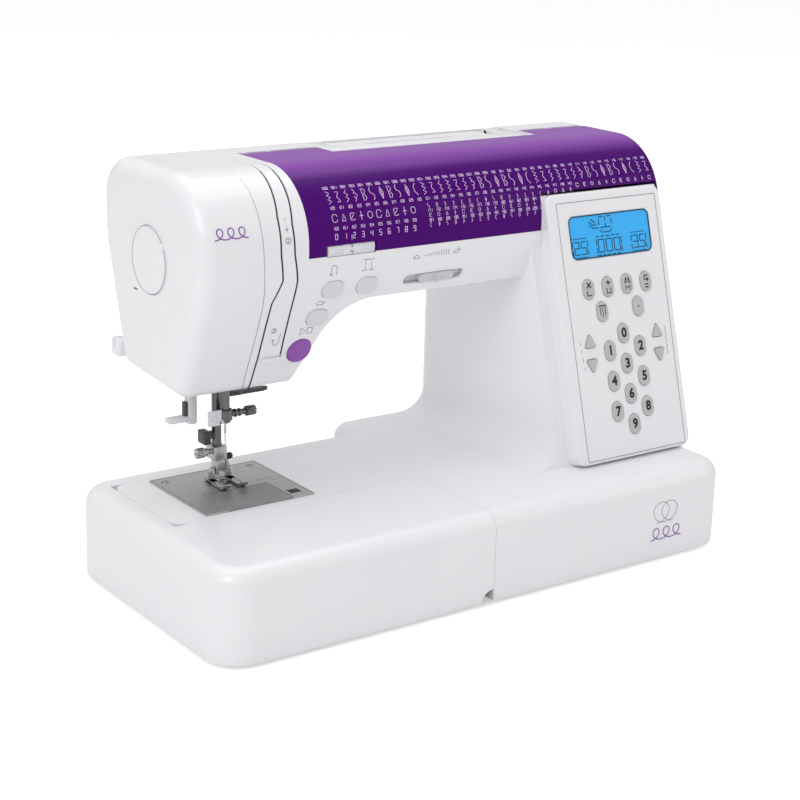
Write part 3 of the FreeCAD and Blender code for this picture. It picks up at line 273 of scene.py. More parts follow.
def paleTop(material, low, high, code):  # painted highlight: a lighter colour over the part of a moulding that faces up, standing for the lamps' reflection on its top
    tree = material.node_tree
    shader = tree.nodes["Principled BSDF"]
    where = tree.nodes.new("ShaderNodeTexCoord")
    parts = tree.nodes.new("ShaderNodeSeparateXYZ")
    fade = tree.nodes.new("ShaderNodeMapRange")
    fade.inputs["From Min"].default_value = low
    fade.inputs["From Max"].default_value = high
    mix = tree.nodes.new("ShaderNodeMix")
    mix.data_type = "RGBA"
    mix.inputs["B"].default_value = hue(code)
    plain = shader.inputs["Base Color"].links[0].from_socket
    link(tree, where.outputs["Object"], parts.inputs["Vector"])
    link(tree, parts.outputs["Z"], fade.inputs["Value"])
    link(tree, fade.outputs["Result"], mix.inputs["Factor"])
    link(tree, plain, mix.inputs["A"])
    link(tree, mix.outputs["Result"], shader.inputs["Base Color"])


# painted highlight on the lid: lighter purple from 283.5 mm up, for the reflection of the lamps above it
paleTop(finish["purpleLid"], 0.2835, 0.2912, "8A48AC")
nodeFinish = {
    "rear_cover": "whiteBody", "face_cover": "whiteBody", "front_cover": "whiteBody",
    "bottom_tray": "basePlastic", "rubber_feet": "feetRubber", "extension_table": "whiteBody",
    "free_arm_housing": "whiteBody", "needle_plate": "plateSteel", "bobbin_cover": "smokedWindow",
    "feed_dog": "feedSteel", "rotary_hook": "hookBlack", "bobbin": "bobbinClear",
    "frame_casting": "castAlloy", "arm_shaft": "groundSteel", "handwheel": "dialGrey",
    "main_motor": "motorPaint", "drive_belt": "beltRubber", "needle_bar": "clampSteel",
    "needle": "barChrome", "needle_clamp": "clampSteel", "presser_bar": "clampSteel",
    "foot_holder": "holderSteel", "presser_foot": "footChrome", "foot_release": "releaseBlack",
    "needle_threader": "threaderWhite", "presser_lifter": "lifterGrey", "take_up_lever": "groundSteel",
    "top_lid": "purpleLid", "carry_handle": "whiteBody", "spool_pin": "slideGrey",
    "bobbin_winder": "slideGrey", "reverse_button": "buttonGrey", "needle_button": "buttonGrey",
    "slow_button": "buttonGrey", "start_stop_button": "startPurple", "speed_slider": "slideGrey",
    "tension_dial": "dialGrey", "pressure_dial": "whiteBody", "power_switch": "switchBlack",
    "control_panel": "panelWhite", "lcd_module": "screenBlue", "circuit_board": "boardGreen",
}
for name, node in nodes.items():
    node.data.materials.clear()
    node.data.materials.append(finish[nodeFinish.get(name, "keyGrey")])
    for face in node.data.polygons:
        face.use_smooth = True
    weld = node.modifiers.new("weld", "WELD")
    weld.merge_threshold = 0.00002
    split = node.modifiers.new("crease", "EDGE_SPLIT")
    split.split_angle = math.radians(28)
    node.modifiers.new("flats", "WEIGHTED_NORMAL")
print("stage: materials")

# camera, floor and lights
view = {"at": (-0.75735, -1.02249, 0.49871), "look": (0.5626, 0.7744, -0.2894), "roll": 1.62, "lens": 82.15}
cameraData = bpy.data.cameras.new("camera")
cameraData.lens = view["lens"]
cameraData.sensor_width = 36
cameraData.clip_end = 20
camera = bpy.data.objects.new("camera", cameraData)
turn = Vector(view["look"]).to_track_quat("-Z", "Y").to_matrix().to_4x4()
roll = Matrix.Rotation(math.radians(view["roll"]), 4, "Z")
camera.matrix_world = Matrix.Translation(view["at"]) @ turn @ roll
scene.collection.objects.link(camera)
scene.camera = camera

bpy.ops.object.select_all(action="DESELECT")
bpy.ops.mesh.primitive_plane_add(size=40, location=(0, 12, 0))
floor = bpy.context.active_object
floor.name = "floor"
floorWhite = moulded("floorWhite", "FFFFFF", "FCFCFD", 0.22, 0.05, 3, glow=0)
floor.data.materials.append(floorWhite)

lamps = {
    "keyLight": {"at": (-1.9, -0.9, 1.7), "size": 1.5, "power": 17},
    "topLight": {"at": (0.2, 0.5, 2.3), "size": 2.2, "power": 20},
    "fillLight": {"at": (1.9, -1.4, 0.9), "size": 1.4, "power": 4},
}
for name, lamp in lamps.items():
    data = bpy.data.lights.new(name, "AREA")
    data.shape = "SQUARE"
    data.size = lamp["size"]
    data.energy = lamp["power"]
    obj = bpy.data.objects.new(name, data)
    aim = Vector((0, 0, 0.12)) - Vector(lamp["at"])
    obj.matrix_world = Matrix.Translation(lamp["at"]) @ aim.to_track_quat("-Z", "Y").to_matrix().to_4x4()
    scene.collection.objects.link(obj)
world = bpy.data.worlds.new("studio")
world.use_nodes = True
sky = world.node_tree.nodes["Background"]
sky.inputs["Color"].default_value = (1, 1, 1, 1)


def lightFor(tree, socket, others, straight):  # one strength for the camera, another for the rest
    seen = tree.nodes.new("ShaderNodeLightPath")
    strength = tree.nodes.new("ShaderNodeMapRange")
    strength.inputs["To Min"].default_value = others
    strength.inputs["To Max"].default_value = straight
    link(tree, seen.outputs["Is Camera Ray"], strength.inputs["Value"])
    link(tree, strength.outputs["Result"], socket)


lightFor(world.node_tree, sky.inputs["Strength"], 0.56, 1)
floorTree = floorWhite.node_tree
lightFor(floorTree, floorTree.nodes["Principled BSDF"].inputs["Emission Strength"], 0, 0.42)
scene.world = world
scene.view_settings.view_transform = "Standard"
print("stage: camera and lights")

# modelling helpers


def deselect():
    bpy.ops.object.select_all(action="DESELECT")


def only(obj):
    deselect()
    obj.select_set(True)
    bpy.context.view_layer.objects.active = obj


def settle(obj):  # put the object's place into its mesh
    only(obj)
    bpy.ops.object.transform_apply(location=True, rotation=True, scale=True)
    return obj


def applyModifier(obj, kind, **settings):
    only(obj)
    modifier = obj.modifiers.new("step", kind)
    for key, value in settings.items():
        setattr(modifier, key, value)
    bpy.ops.object.modifier_apply(modifier=modifier.name)
    return obj


def soften(obj, width, segments=3, angle=35):  # rounds the edges, width in millimetres
    return applyModifier(obj, "BEVEL", width=width / 1000, segments=segments, limit_method="ANGLE",
                         angle_limit=math.radians(angle))


def addBlock(low, high, edge=0.0, segments=3):  # corners in machine millimetres
    deselect()
    a, b = spot(*low), spot(*high)
    bpy.ops.mesh.primitive_cube_add(size=1, location=(a + b) / 2)
    obj = bpy.context.active_object
    obj.scale = b - a
    settle(obj)
    return soften(obj, edge, segments) if edge else obj


def addRod(start, end, radius, sides=32, edge=0.0):
    deselect()
    a, b = spot(*start), spot(*end)
    turn = (b - a).to_track_quat("Z", "Y").to_euler()
    bpy.ops.mesh.primitive_cylinder_add(radius=radius / 1000, location=(a + b) / 2, rotation=turn,
                                        depth=(b - a).length, vertices=sides)
    obj = settle(bpy.context.active_object)
    return soften(obj, edge, 3) if edge else obj


def addCross(left, right, at, radius, sides=32, edge=0.0):  # a rod along x through (y, z)
    return addRod((left, *at), (right, *at), radius, sides, edge)


def addUpright(x, y, low, high, radius, sides=32, edge=0.0):
    return addRod((x, y, low), (x, y, high), radius, sides, edge)


def addBall(at, radius, rings=16):
    deselect()
    bpy.ops.mesh.primitive_uv_sphere_add(radius=radius / 1000, location=spot(*at), segments=2 * rings,
                                         ring_count=rings)
    return settle(bpy.context.active_object)


def joined(pieces):
    deselect()
    for piece in pieces:
        piece.select_set(True)
    bpy.context.view_layer.objects.active = pieces[0]
    if len(pieces) > 1:
        bpy.ops.object.join()
    return pieces[0]


def carved(obj, *cutters):
    for cutter in cutters:
        applyModifier(obj, "BOOLEAN", object=cutter, operation="DIFFERENCE", solver="EXACT")
        bpy.data.objects.remove(cutter)
    return obj


def placed(obj, frameAt):  # moves a piece made flat at the origin to where it belongs
    obj.matrix_world = frameAt
    return settle(obj)


def panelFrame(across, up, out=0.0):
    base = panelSpot(across, up, out)
    side, rise = Vector((1, 0, 0)), Vector((0, math.sin(tilt), math.cos(tilt)))
    return Matrix.Translation(base) @ Matrix((side, rise, side.cross(rise))).transposed().to_4x4()


def coverFrame(x, run, out=0.0):
    side = Vector((1, 0, 0))
    rise = (coverSpot(x, run + 0.5) - coverSpot(x, run - 0.5)).normalized()
    base = coverSpot(x, run, out)
    return Matrix.Translation(base) @ Matrix((side, rise, side.cross(rise))).transposed().to_4x4()


def strokes(lines, radius, closed=False):  # thin printed lines, each a list of points in metres
    curve = bpy.data.curves.new("lines", "CURVE")
    curve.dimensions = "3D"
    curve.bevel_depth = radius / 1000
    curve.bevel_resolution = 0
    curve.use_fill_caps = True
    for line in lines:
        spline = curve.splines.new("POLY")
        spline.points.add(len(line) - 1)
        for point, at in zip(spline.points, line):
            point.co = (*at, 1)
        spline.use_cyclic_u = closed
    obj = bpy.data.objects.new("lines", curve)
    scene.collection.objects.link(obj)
    only(obj)
    bpy.ops.object.convert(target="MESH")
    return bpy.context.active_object


def flatShape(outlines, thick):  # a flat pad from closed outlines in millimetres, about the origin
    curve = bpy.data.curves.new("flat", "CURVE")
    curve.dimensions = "2D"
    curve.fill_mode = "BOTH"
    curve.extrude = thick / 2000
    for outline in outlines:
        spline = curve.splines.new("POLY")
        spline.points.add(len(outline) - 1)
        for point, at in zip(spline.points, outline):
            point.co = (at[0] / 1000, at[1] / 1000, 0, 1)
        spline.use_cyclic_u = True
    obj = bpy.data.objects.new("flat", curve)
    scene.collection.objects.link(obj)
    only(obj)
    bpy.ops.object.convert(target="MESH")
    obj = bpy.context.active_object
    for vertex in obj.data.vertices:
        vertex.co.z += thick / 2000
    return applyModifier(obj, "WELD", merge_threshold=0.000001)


def lettering(text, size, heavy=0.0):
    deselect()
    bpy.ops.object.text_add()
    obj = bpy.context.active_object
    obj.data.body = text
    obj.data.size = size / 1000
    obj.data.offset = heavy / 1000
    obj.data.extrude = 0.00003
    obj.data.align_x = "CENTER"
    obj.data.align_y = "CENTER"
    obj.data.resolution_u = 4
    bpy.ops.object.convert(target="MESH")
    return applyModifier(bpy.context.active_object, "WELD", merge_threshold=0.000001)


def ring(width, height, corner, steps=5, middle=(0, 0)):  # a rounded rectangle's outline
    points = []
    for quarter, (sx, sy) in enumerate(((1, 1), (-1, 1), (-1, -1), (1, -1))):
        cx, cy = sx * (width / 2 - corner), sy * (height / 2 - corner)
        for step in range(steps + 1):
            angle = math.pi / 2 * (quarter + step / steps)
            points.append((middle[0] + cx + corner * math.cos(angle),
                           middle[1] + cy + corner * math.sin(angle)))
    return points


def finished(obj, name, body, look, smooth=35):
    obj.name = name
    obj.data.name = name
    obj.data.materials.clear()
    obj.data.materials.append(finish[look])
    only(obj)
    bpy.ops.object.shade_smooth_by_angle(angle=math.radians(smooth))
    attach(obj, body)
    return obj


segments = {"0": "abcdef", "1": "bc", "2": "abged", "3": "abgcd", "4": "fgbc", "5": "afgcd", "6": "afgedc",
            "7": "abc", "8": "abcdefg", "9": "abcdfg", "-": "g"}
segmentEnds = {"a": ((0, 2), (1, 2)), "b": ((1, 2), (1, 1)), "c": ((1, 1), (1, 0)), "d": ((0, 0), (1, 0)),
               "e": ((0, 0), (0, 1)), "f": ((0, 1), (0, 2)), "g": ((0, 1), (1, 1))}


def digitLines(text, x, y, wide, high, gap):  # bar digits as flat line ends in millimetres
    lines = []
    for letter in text:
        for bar in segments[letter]:
            lines.append([(x + end[0] * wide, y + end[1] * high / 2) for end in segmentEnds[bar]])
        x += wide + gap
    return lines


moulded("inkGrey", "77757B", "858389", 0.5, 0.1, 90)
moulded("inkBlack", "101012", "1B1B1E", 0.5, 0.1, 90)
moulded("chartPink", "F2DDF8", "E6C8EF", 0.45, 0.1, 90)
moulded("chartFaint", "A070BA", "9160AE", 0.45, 0.1, 90)
moulded("screenInk", "03283C", "063349", 0.3, 0.08, 90)
moulded("markPurple", "7A3F9E", "8B50AE", 0.45, 0.1, 90)
# painted shade for the inside of the two thread slots
moulded("paintedSlotDepthShade", "232226", "2C2B30", 0.5, 0.1, 60)
moulded("slotShade", "55535A", "605E66", 0.5, 0.1, 60)

# control panel: border, screen and key pads
panelLook = {"left": 333, "right": 430, "foot": 2.5, "head": 193, "line": 0.24}
panelMiddle = ((panelLook["left"] + panelLook["right"]) / 2, (panelLook["foot"] + panelLook["head"]) / 2)
edge = ring(panelLook["right"] - panelLook["left"], panelLook["head"] - panelLook["foot"], 1.2,
            middle=panelMiddle)
border = strokes([[panelSpot(u, v, 0.02) for u, v in edge]], panelLook["line"], closed=True)
finished(border, "panelBorder", "machine", "inkGrey")

screenLook = {"left": 342, "foot": 150.2, "width": 79.5, "height": 32.5, "corner": 4.5}
screenMiddle = (screenLook["left"] + screenLook["width"] / 2, screenLook["foot"] + screenLook["height"] / 2)
mask = flatShape([ring(screenLook["width"] + 0.4, screenLook["height"] + 0.4, 0.1),
                  ring(screenLook["width"] - 1, screenLook["height"] - 1, screenLook["corner"])], 0.35)
placed(mask, panelFrame(*screenMiddle, -0.38))
finished(mask, "screenMask", "machine", "panelWhite")
rim = ring(screenLook["width"] - 1.2, screenLook["height"] - 1.2, screenLook["corner"], 7,
           middle=screenMiddle)
finished(strokes([[panelSpot(u, v, -0.05) for u, v in rim]], 0.5, closed=True), "screenRim", "machine",
         "screenInk")

screenLines = []
for text, x, wide in (("25", 3.6, 4.6), ("000", 27, 5.6), ("35", 61.5, 4.6)):
    screenLines += digitLines(text, x, 4, wide, 9.2, 2.2)
    reach = len(text) * (wide + 2.2) - 2.2
    for y in (1.6, 15.6):  # the dashed box round each number
        for step in range(5):
            start = x - 1.6 + (reach + 3.2) * step / 5
            screenLines.append([(start, y), (start + (reach + 3.2) / 8, y)])
    for side in (x - 1.6, x + reach + 1.6):
        screenLines += [[(side, 3), (side, 7)], [(side, 9), (side, 14)]]
screenLines += [[(8.8, 4), (9.4, 4)], [(66.7, 4), (67.3, 4)]]
screenLines += [[(30, 30), (34, 30)], [(38, 30), (42, 30)], [(30, 28), (30, 24)], [(42, 28), (42, 24)],
                [(36, 30), (36, 27)], [(36, 25.5), (36, 22)],
                [(30, 20.5), (32, 18.5), (40, 18.5), (42, 20.5)],
                [(31, 22), (41, 22)], [(20, 25), (24, 22), (29, 22)], [(20, 27), (25, 24), (28, 25)],
                [(22, 29), (26, 26)]]
screenAt = [[panelSpot(screenLook["left"] + x, screenLook["foot"] + y, -0.4) for x, y in line]
            for line in screenLines]
finished(strokes(screenAt, 0.4), "screenFigures", "machine", "screenInk")

keyLook = {"width": 10.5, "length": 15, "low": -4.4, "top": 1.15, "edge": 0.7, "crown": 0.25}


def addKeyPad():  # one soft oval pad, standing at the origin
    deselect()
    high = keyLook["top"] - keyLook["low"]
    bpy.ops.mesh.primitive_cylinder_add(vertices=40, radius=keyLook["width"] / 2000, depth=high / 1000,
                                        location=(0, 0, (keyLook["top"] + keyLook["low"]) / 2000))
    pad = settle(bpy.context.active_object)
    run = (keyLook["length"] - keyLook["width"]) / 2000
    for vertex in pad.data.vertices:
        vertex.co.y += run if vertex.co.y > 0 else -run
    only(pad)
    bpy.ops.object.mode_set(mode="EDIT")
    bpy.ops.mesh.select_mode(type="FACE")
    bpy.ops.mesh.select_all(action="DESELECT")
    bpy.ops.object.mode_set(mode="OBJECT")
    for face in pad.data.polygons:
        face.select = face.normal.z > 0.9
    bpy.ops.object.mode_set(mode="EDIT")
    bpy.ops.mesh.inset(thickness=keyLook["edge"] / 1000)
    bpy.ops.transform.translate(value=(0, 0, keyLook["crown"] * 0.6 / 1000))
    bpy.ops.mesh.inset(thickness=2 / 1000)
    bpy.ops.transform.translate(value=(0, 0, keyLook["crown"] * 0.4 / 1000))
    bpy.ops.object.mode_set(mode="OBJECT")
    for vertex in pad.data.vertices:  # the crown stays inside the cap's height
        vertex.co.z -= keyLook["crown"] / 1000 if vertex.co.z > 0 else 0
    return pad


keyMiddle = 381.6  # the middle column, from the machine's left end
keyAt = {"clear_key": (-28.35, 128.3), "memory_key": (-9.45, 128.3), "mirror_key": (9.45, 128.3),
         "repeat_key": (28.35, 128.3), "needle_key": (-17.8, 110.6), "density_key": (17.8, 110.6)}
for number, (column, line) in enumerate([(0, 0), (-1, 1), (1, 1), (0, 2), (-1, 3), (1, 3), (0, 4), (-1, 5),
                                         (1, 5), (0, 6)]):
    keyAt["digit_key_%d" % number] = (column * 15, 92.4 - line * 11.4)
firstPad = addKeyPad()
for name, (across, up) in keyAt.items():
    only(firstPad)
    bpy.ops.object.duplicate(linked=False)
    pad = placed(bpy.context.active_object, panelFrame(keyMiddle + across, up))
    finished(pad, name + "_pad", name + "_cap", "keyGrey")
    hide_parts(name)
bpy.data.objects.remove(firstPad)

for number in range(10):
    across, up = keyAt["digit_key_%d" % number]
    digit = placed(lettering(str(number), 9.6, 0.42), panelFrame(keyMiddle + across, up, keyLook["top"]))
    finished(digit, "digitMark_%d" % number, "digit_key_%d_cap" % number, "inkBlack")

keySignSize = 1.2
keySigns = {
    "clear_key": ([[(-1.6, 0.8), (1.6, 4)], [(-1.6, 4), (1.6, 0.8)],
                   [(-1.6, -1), (-1.6, -4), (1.6, -4)]], 0.62),
    "memory_key": ([[(0, 4), (0, 0.8)], [(-1.6, 2.4), (1.6, 2.4)],
                    [(-1.6, -0.8), (-1.6, -4), (1.6, -4), (1.6, -0.8)]], 0.62),
    "mirror_key": ([[(-0.8, 4), (-0.8, 0.8), (-2.4, 0.8), (-0.8, 4)],
                    [(0.8, 4), (0.8, 0.8), (2.4, 0.8), (0.8, 4)],
                    [(-1.8, -4), (-1.8, -1), (0, -2.6), (1.8, -1), (1.8, -4)]], 0.55),
    "repeat_key": ([[(1.6, 3.6), (-1.4, 3.6), (-1.4, 1), (1.6, 1)], [(0.6, 2.2), (1.8, 1), (0.6, -0.2)],
                    [(-1.4, -2), (1.4, -2)], [(-1.4, -3.8), (1.4, -3.8)]], 0.58),
    "needle_key": ([[(-2, 3.6), (-2, -2.4)], [(0, 3.6), (0, -3.8)], [(2, 3.6), (2, -2.4)],
                    [(-2.8, 3.6), (2.8, 3.6)]], 0.45),
    "density_key": ([[(-0.3, 0), (0.3, 0)]], 0.8),
}
for name, (lines, thick) in keySigns.items():
    across, up = keyAt[name]
    above = keyLook["top"] - thick * 0.3
    shown = [[panelSpot(keyMiddle + across + x * keySignSize, up + y * keySignSize, above) for x, y in line]
             for line in lines]
    finished(strokes(shown, thick), name + "_sign", name + "_cap", "inkBlack")

besideMarks = [[(339, 92), (339, 88)], [(339.4, 85), (339.4, 82.5)], [(339.8, 80), (339.8, 75)],
               [(340, 72), (340.6, 69.5)]]
wave = [(423.6 + (0.9 if step % 2 else -0.9), 93 - step * 2.2) for step in range(11)]
finished(strokes([[panelSpot(u, v, 0.02) for u, v in line] for line in besideMarks + [wave]], 0.2),
         "stitchMarks", "machine", "inkGrey")
print("stage: panel")

# printed marks on the arm
armLines = []


def onArm(lines, x, z, size=1.0):
    base = runAt(z)
    armLines.extend([[coverSpot(x + a * size, base + b * size, 0.03) for a, b in line] for line in lines])


def arc(cx, cy, r, start, end, steps=8):
    return [(cx + r * math.cos(math.radians(start + (end - start) * k / steps)),
             cy + r * math.sin(math.radians(start + (end - start) * k / steps))) for k in range(steps + 1)]


onArm([[(-2.2, -3.6)] + arc(0, 1.4, 2.2, 180, 0) + [(2.2, -3.6)],
       [(-3.2, -2.2), (-2.2, -3.8), (-1.2, -2.2)]], 142.8, 225)
onArm([[(-4.4, 3.8), (4.4, 3.8)], [(-2.4, 3.8), (-2.4, -3.4)], [(2.6, 2), (2.6, -3.6)],
       [(-5, -3.9), (-0.6, -3.9)], [(0.8, -3.9), (5, -3.9)]], 170.8, 226)
bars = [[(-10 + step * 2.1, -0.6 - step * 0.06), (-10 + step * 2.1, 0.6 + step * 0.22)] for step in range(11)]
onArm(bars, 228, 227.4)
onArm([[(-2.6, -0.8)] + arc(0, -0.6, 2.2, 180, 0) + [(2.6, -0.8), (-2.6, -0.8)],
       [(-2.2, 0.4), (-3.6, 0.9)]], 211.5, 226.6)
onArm([[(-2.8, -0.8), (-2.4, 0.8), (0.6, 1), (1.6, 1.9), (0.4, 3.4)],
       [(1.6, 1.9), (2.9, 1), (1.6, -0.8), (-2.8, -0.8)]], 246.5, 227.6)
onArm([[(0, 5), (0, -4)], [(-1, -2), (0, -4.2), (1, -2)]], 105.6, 259)
onArm([arc(0, 0, 2.1, 0, 360, 14), [(-0.8, 0.7), (0, 1.2), (0.7, 0.4), (-0.8, -1.1), (0.9, -1.1)]], 106, 249)
onArm([[(3, 4), (2.6, -3)] + arc(0.4, -3.2, 2.3, 0, -180, 8) + [(-2.1, -0.6)],
       [(-3, -1.8), (-2.1, -0.4), (-1, -1.6)]], 107.5, 178)
onArm([arc(0, 0, 1.9, 0, 360, 14), [(-0.7, 1), (0.6, 1), (-0.1, 0.1), (0.7, -0.6), (-0.7, -1)]], 104.5, 184.5)
onArm([[(-4.6, 3), (-4.6, -2.4), (-0.4, 0.3), (-4.6, 3)], [(1, 2.6), (5, 2.6), (5, -2), (1, -2), (1, 2.6)]],
      131, 180.5)
onArm([[(-4.4, -1.6)] + arc(-1.6, -1.4, 2.8, 180, 0) + [(-4.4, -1.6)], [(1.2, -0.8), (2.8, 0.4)],
       [(-3.6, -1.6), (-3.6, -2.6)], [(0, -1.6), (0, -2.6)]], 138.5, 201.6)
finished(strokes(armLines, 0.2), "armMarks", "machine", "inkGrey")

chartLook = {"left": 142, "pitch": 7.2, "columns": 41, "line": 0.24, "figure": 0.17}
glyphs = [
    [[(0, 0), (0.5, 0.17), (0, 0.33), (0.5, 0.5), (0, 0.67), (0.5, 0.83), (0, 1)]],
    [arc(0.1, 0.25, 0.26, -90, 90, 5) + arc(0.1, 0.76, 0.26, 270, 90, 5)],
    [[(0, 0), (0.45, 0.25), (0.1, 0.4), (0.5, 0.6), (0.05, 0.75), (0.4, 1)]],
    [[(0.4, 0), (0, 0.3), (0, 0.7), (0.4, 1)]],
    [[(0.2, 0), (0.5, 0.25), (0.2, 0.5), (0.5, 0.75), (0.2, 1)], [(0, 0), (0, 1)]],
    [[(0, 0.1), (0.5, 0.1), (0.1, 0.5), (0.5, 0.9), (0, 0.9)]],
    [[(0.25, 0), (0.5, 0.5), (0.25, 1), (0, 0.5), (0.25, 0)], [(0.25, 0.25), (0.25, 0.75)]],
    [[(0, 0), (0.25, 0.2), (0, 0.4)], [(0.25, 0.3), (0.5, 0.5), (0.25, 0.7)],
     [(0, 0.6), (0.25, 0.8), (0, 1)]],
]
wideGlyphs = [[ring(0.8, 0.9, 0.3, 3, (0.3, 0.5))],
              [ring(0.7, 0.8, 0.1, 1, (0.3, 0.5)), [(0.1, 0.3), (0.5, 0.7)]],
              [arc(0.3, 0.5, 0.4, 0, 360, 10)], [[(0, 0.1), (0.3, 0.9), (0.6, 0.1), (0, 0.1)]],
              [[(0.3, 0), (0.3, 1)], [(0, 0.5), (0.6, 0.5)]]]
chartLines, chartFigures, topLines = [], [], []


def addGlyph(store, lines, x, run, wide, high):
    for line in lines:
        finer = []
        for a, b in zip(line[:-1], line[1:]):  # short steps keep to the curved lid
            finer += [a, ((a[0] + b[0]) / 2, (a[1] + b[1]) / 2)]
        store.append([coverSpot(x + px * wide, run + py * high, 0.03) for px, py in finer + [line[-1]]])


def addNumber(number, x, run):
    for line in digitLines(number, 0, 0, 1, 2, 0.5):
        chartFigures.append([coverSpot(x + px, run + py, 0.03) for px, py in line])


for column in range(chartLook["columns"]):
    x = chartLook["left"] + column * chartLook["pitch"]
    addNumber("%03d" % (80 + column), x, 47.6)
    addGlyph(chartLines, glyphs[(column * 5 + column // 7) % len(glyphs)], x + 0.6, 36.5, 5.4, 9.4)
    if column < 30:
        addNumber("%03d" % (120 + column), x, 32.4)
    if column < 10:
        addGlyph(chartLines, wideGlyphs[column * 3 % 5], x + 0.8, 23.4, 5, 6)
        addNumber("%03d" % (150 + column), x, 18.4)
        for line in digitLines(str(column), 1.2, 0, 1.8, 3.6, 0.5):
            chartLines.append([coverSpot(x + px, 12 + py, 0.03) for px, py in line])
    elif 11 <= column < 27:
        for row, run in enumerate((26.8, 20, 13.4)):
            addGlyph(chartFigures, glyphs[(column * 3 + row * 5) % 8] if row != 1 else wideGlyphs[column % 5],
                     x + 1.2, run, 2.6, 3.2)
            if row < 2:
                addNumber("%03d" % (160 + row * 16 + column), x, run - 2.9)
    elif 27 <= column < 41:
        addGlyph(chartLines, wideGlyphs[column % 5], x + 0.9, 27.4 if column < 30 else 30, 3, 3.4)
    for side in range(3):
        topLines.append([coverSpot(x + side * 2.2, 84 + (column % 3), 0.03),
                         coverSpot(x + side * 2.2 + 0.6, 89 + (column % 2), 0.03)])
finished(strokes(chartLines, chartLook["line"]), "stitchChart", "lid", "chartPink")
finished(strokes(chartFigures, chartLook["figure"]), "stitchNumbers", "lid", "chartPink")
finished(strokes(topLines, 0.12), "lidTopMarks", "lid", "chartFaint")
pointer = [coverSpot(156.5, 14.4, 0.03), coverSpot(156.5, 11, 0.03)]
finished(strokes([pointer], 0.22), "dialPointer", "lid", "chartPink")
print("stage: printed marks")
# sewing point


def addKnurled(left, right, at, radius, teeth, depth=0.08, edge=0.4):  # a cross rod with a ribbed rim
    deselect()
    a, b = spot(left, *at), spot(right, *at)
    bpy.ops.mesh.primitive_cylinder_add(vertices=teeth * 4, radius=radius / 1000, depth=(b - a).length)
    rod = bpy.context.active_object
    for vertex in rod.data.vertices:
        turn = round(math.atan2(vertex.co.y, vertex.co.x) / math.tau * teeth * 4) % 4
        if turn >= 2:
            vertex.co.x *= 1 - depth
            vertex.co.y *= 1 - depth
    lay = (b - a).to_track_quat("Z", "Y").to_matrix().to_4x4()
    return soften(placed(rod, Matrix.Translation((a + b) / 2) @ lay), edge, 2, 60)


def addProfile(outline, left, right, edge):  # a (y, z) outline drawn out along x
    deselect()
    mesh = bpy.data.meshes.new("profile")
    mesh.from_pydata([spot(left, y, z) for y, z in outline], [], [list(range(len(outline)))])
    obj = bpy.data.objects.new("profile", mesh)
    scene.collection.objects.link(obj)
    only(obj)
    bpy.ops.object.mode_set(mode="EDIT")
    bpy.ops.mesh.select_all(action="SELECT")
    bpy.ops.mesh.extrude_region_move(TRANSFORM_OT_translate={"value": ((right - left) / 1000, 0, 0)})
    bpy.ops.mesh.select_all(action="SELECT")
    bpy.ops.mesh.normals_make_consistent(inside=False)
    bpy.ops.object.mode_set(mode="OBJECT")
    return soften(obj, edge, 2, 40)


def addSlotHead(at, radius, high, slot=0.7):  # a round screw head with its slot, standing up
    x, y, z = at
    head = addRod((x, y, z), (x, y, z + high), radius, 32, high * 0.35)
    return carved(head, addBlock((x - radius - 1, y - slot / 2, z + high * 0.4),
                                 (x + radius + 1, y + slot / 2, z + 5)))


needleX, needleY, presserY = 87.3, 147, 159
hingeAt = (154, 76)  # the foot's pin
clampLook = {"low": 114.6, "high": 122.5, "collar": 5.2, "flange": 5.35, "stem": 2.1, "screw": 118.5,
             "head": 3.6}
at = clampLook["screw"]
collar = joined([
    addUpright(needleX, needleY, clampLook["low"], clampLook["high"], clampLook["collar"], 40, 0.5),
    addUpright(needleX, needleY, at - 0.6, at + 1.9, clampLook["flange"], 40, 0.4),
    addUpright(needleX, needleY, clampLook["low"] - 1.8, clampLook["low"] + 1, 3.7, 32, 0.4),
    addCross(needleX + 3, needleX + 17, (needleY, at), clampLook["stem"], 24),
    addCross(needleX + 7, needleX + 8.6, (needleY, at), 3, 24, 0.3),
    addCross(needleX + 10.6, needleX + 12, (needleY, at), 2.9, 24, 0.3),
    carved(addKnurled(needleX + 16.2, needleX + 24, (needleY, at), clampLook["head"], 14, 0.1, 0.4),
           addBlock((needleX + 22.8, needleY - 5, at - 0.4), (needleX + 30, needleY + 5, at + 0.4)))])
finished(collar, "needleClampDetail", "needle_set", "clampSteel")
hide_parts("needle_clamp")

guideLook = {"left": 71.6, "right": 82.6, "low": 112.4, "high": 123.6, "front": 143.2, "thick": 1.3}
guide = addBlock((guideLook["left"], guideLook["front"], guideLook["low"]),
                 (guideLook["right"], guideLook["front"] + guideLook["thick"], guideLook["high"]), 0.55)
guide = joined([guide,
                addBlock((guideLook["right"] - 2, guideLook["front"], guideLook["low"] + 0.6),
                         (guideLook["right"] + 2.4, guideLook["front"] + 4, guideLook["low"] + 3.6), 0.5),
                addRod((77, guideLook["front"] - 1.2, 118), (77, guideLook["front"] + 2, 118), 1.8, 28, 0.4)])
finished(guide, "guidePlate", "needle_set", "threaderWhite")

blockLook = {"low": (74.2, 153, 96), "high": (79.8, 163, 105.5), "edge": 0.8}
barBlock = joined([addBlock(blockLook["low"], blockLook["high"], blockLook["edge"]),
                   addBlock((79, 156, 99), (84.5, 162, 103.5), 0.5),
                   addRod((77, 152.6, 102), (77, 154, 102), 1.9, 28, 0.3)])
finished(barBlock, "barBlock", "presser_set", "lifterGrey")

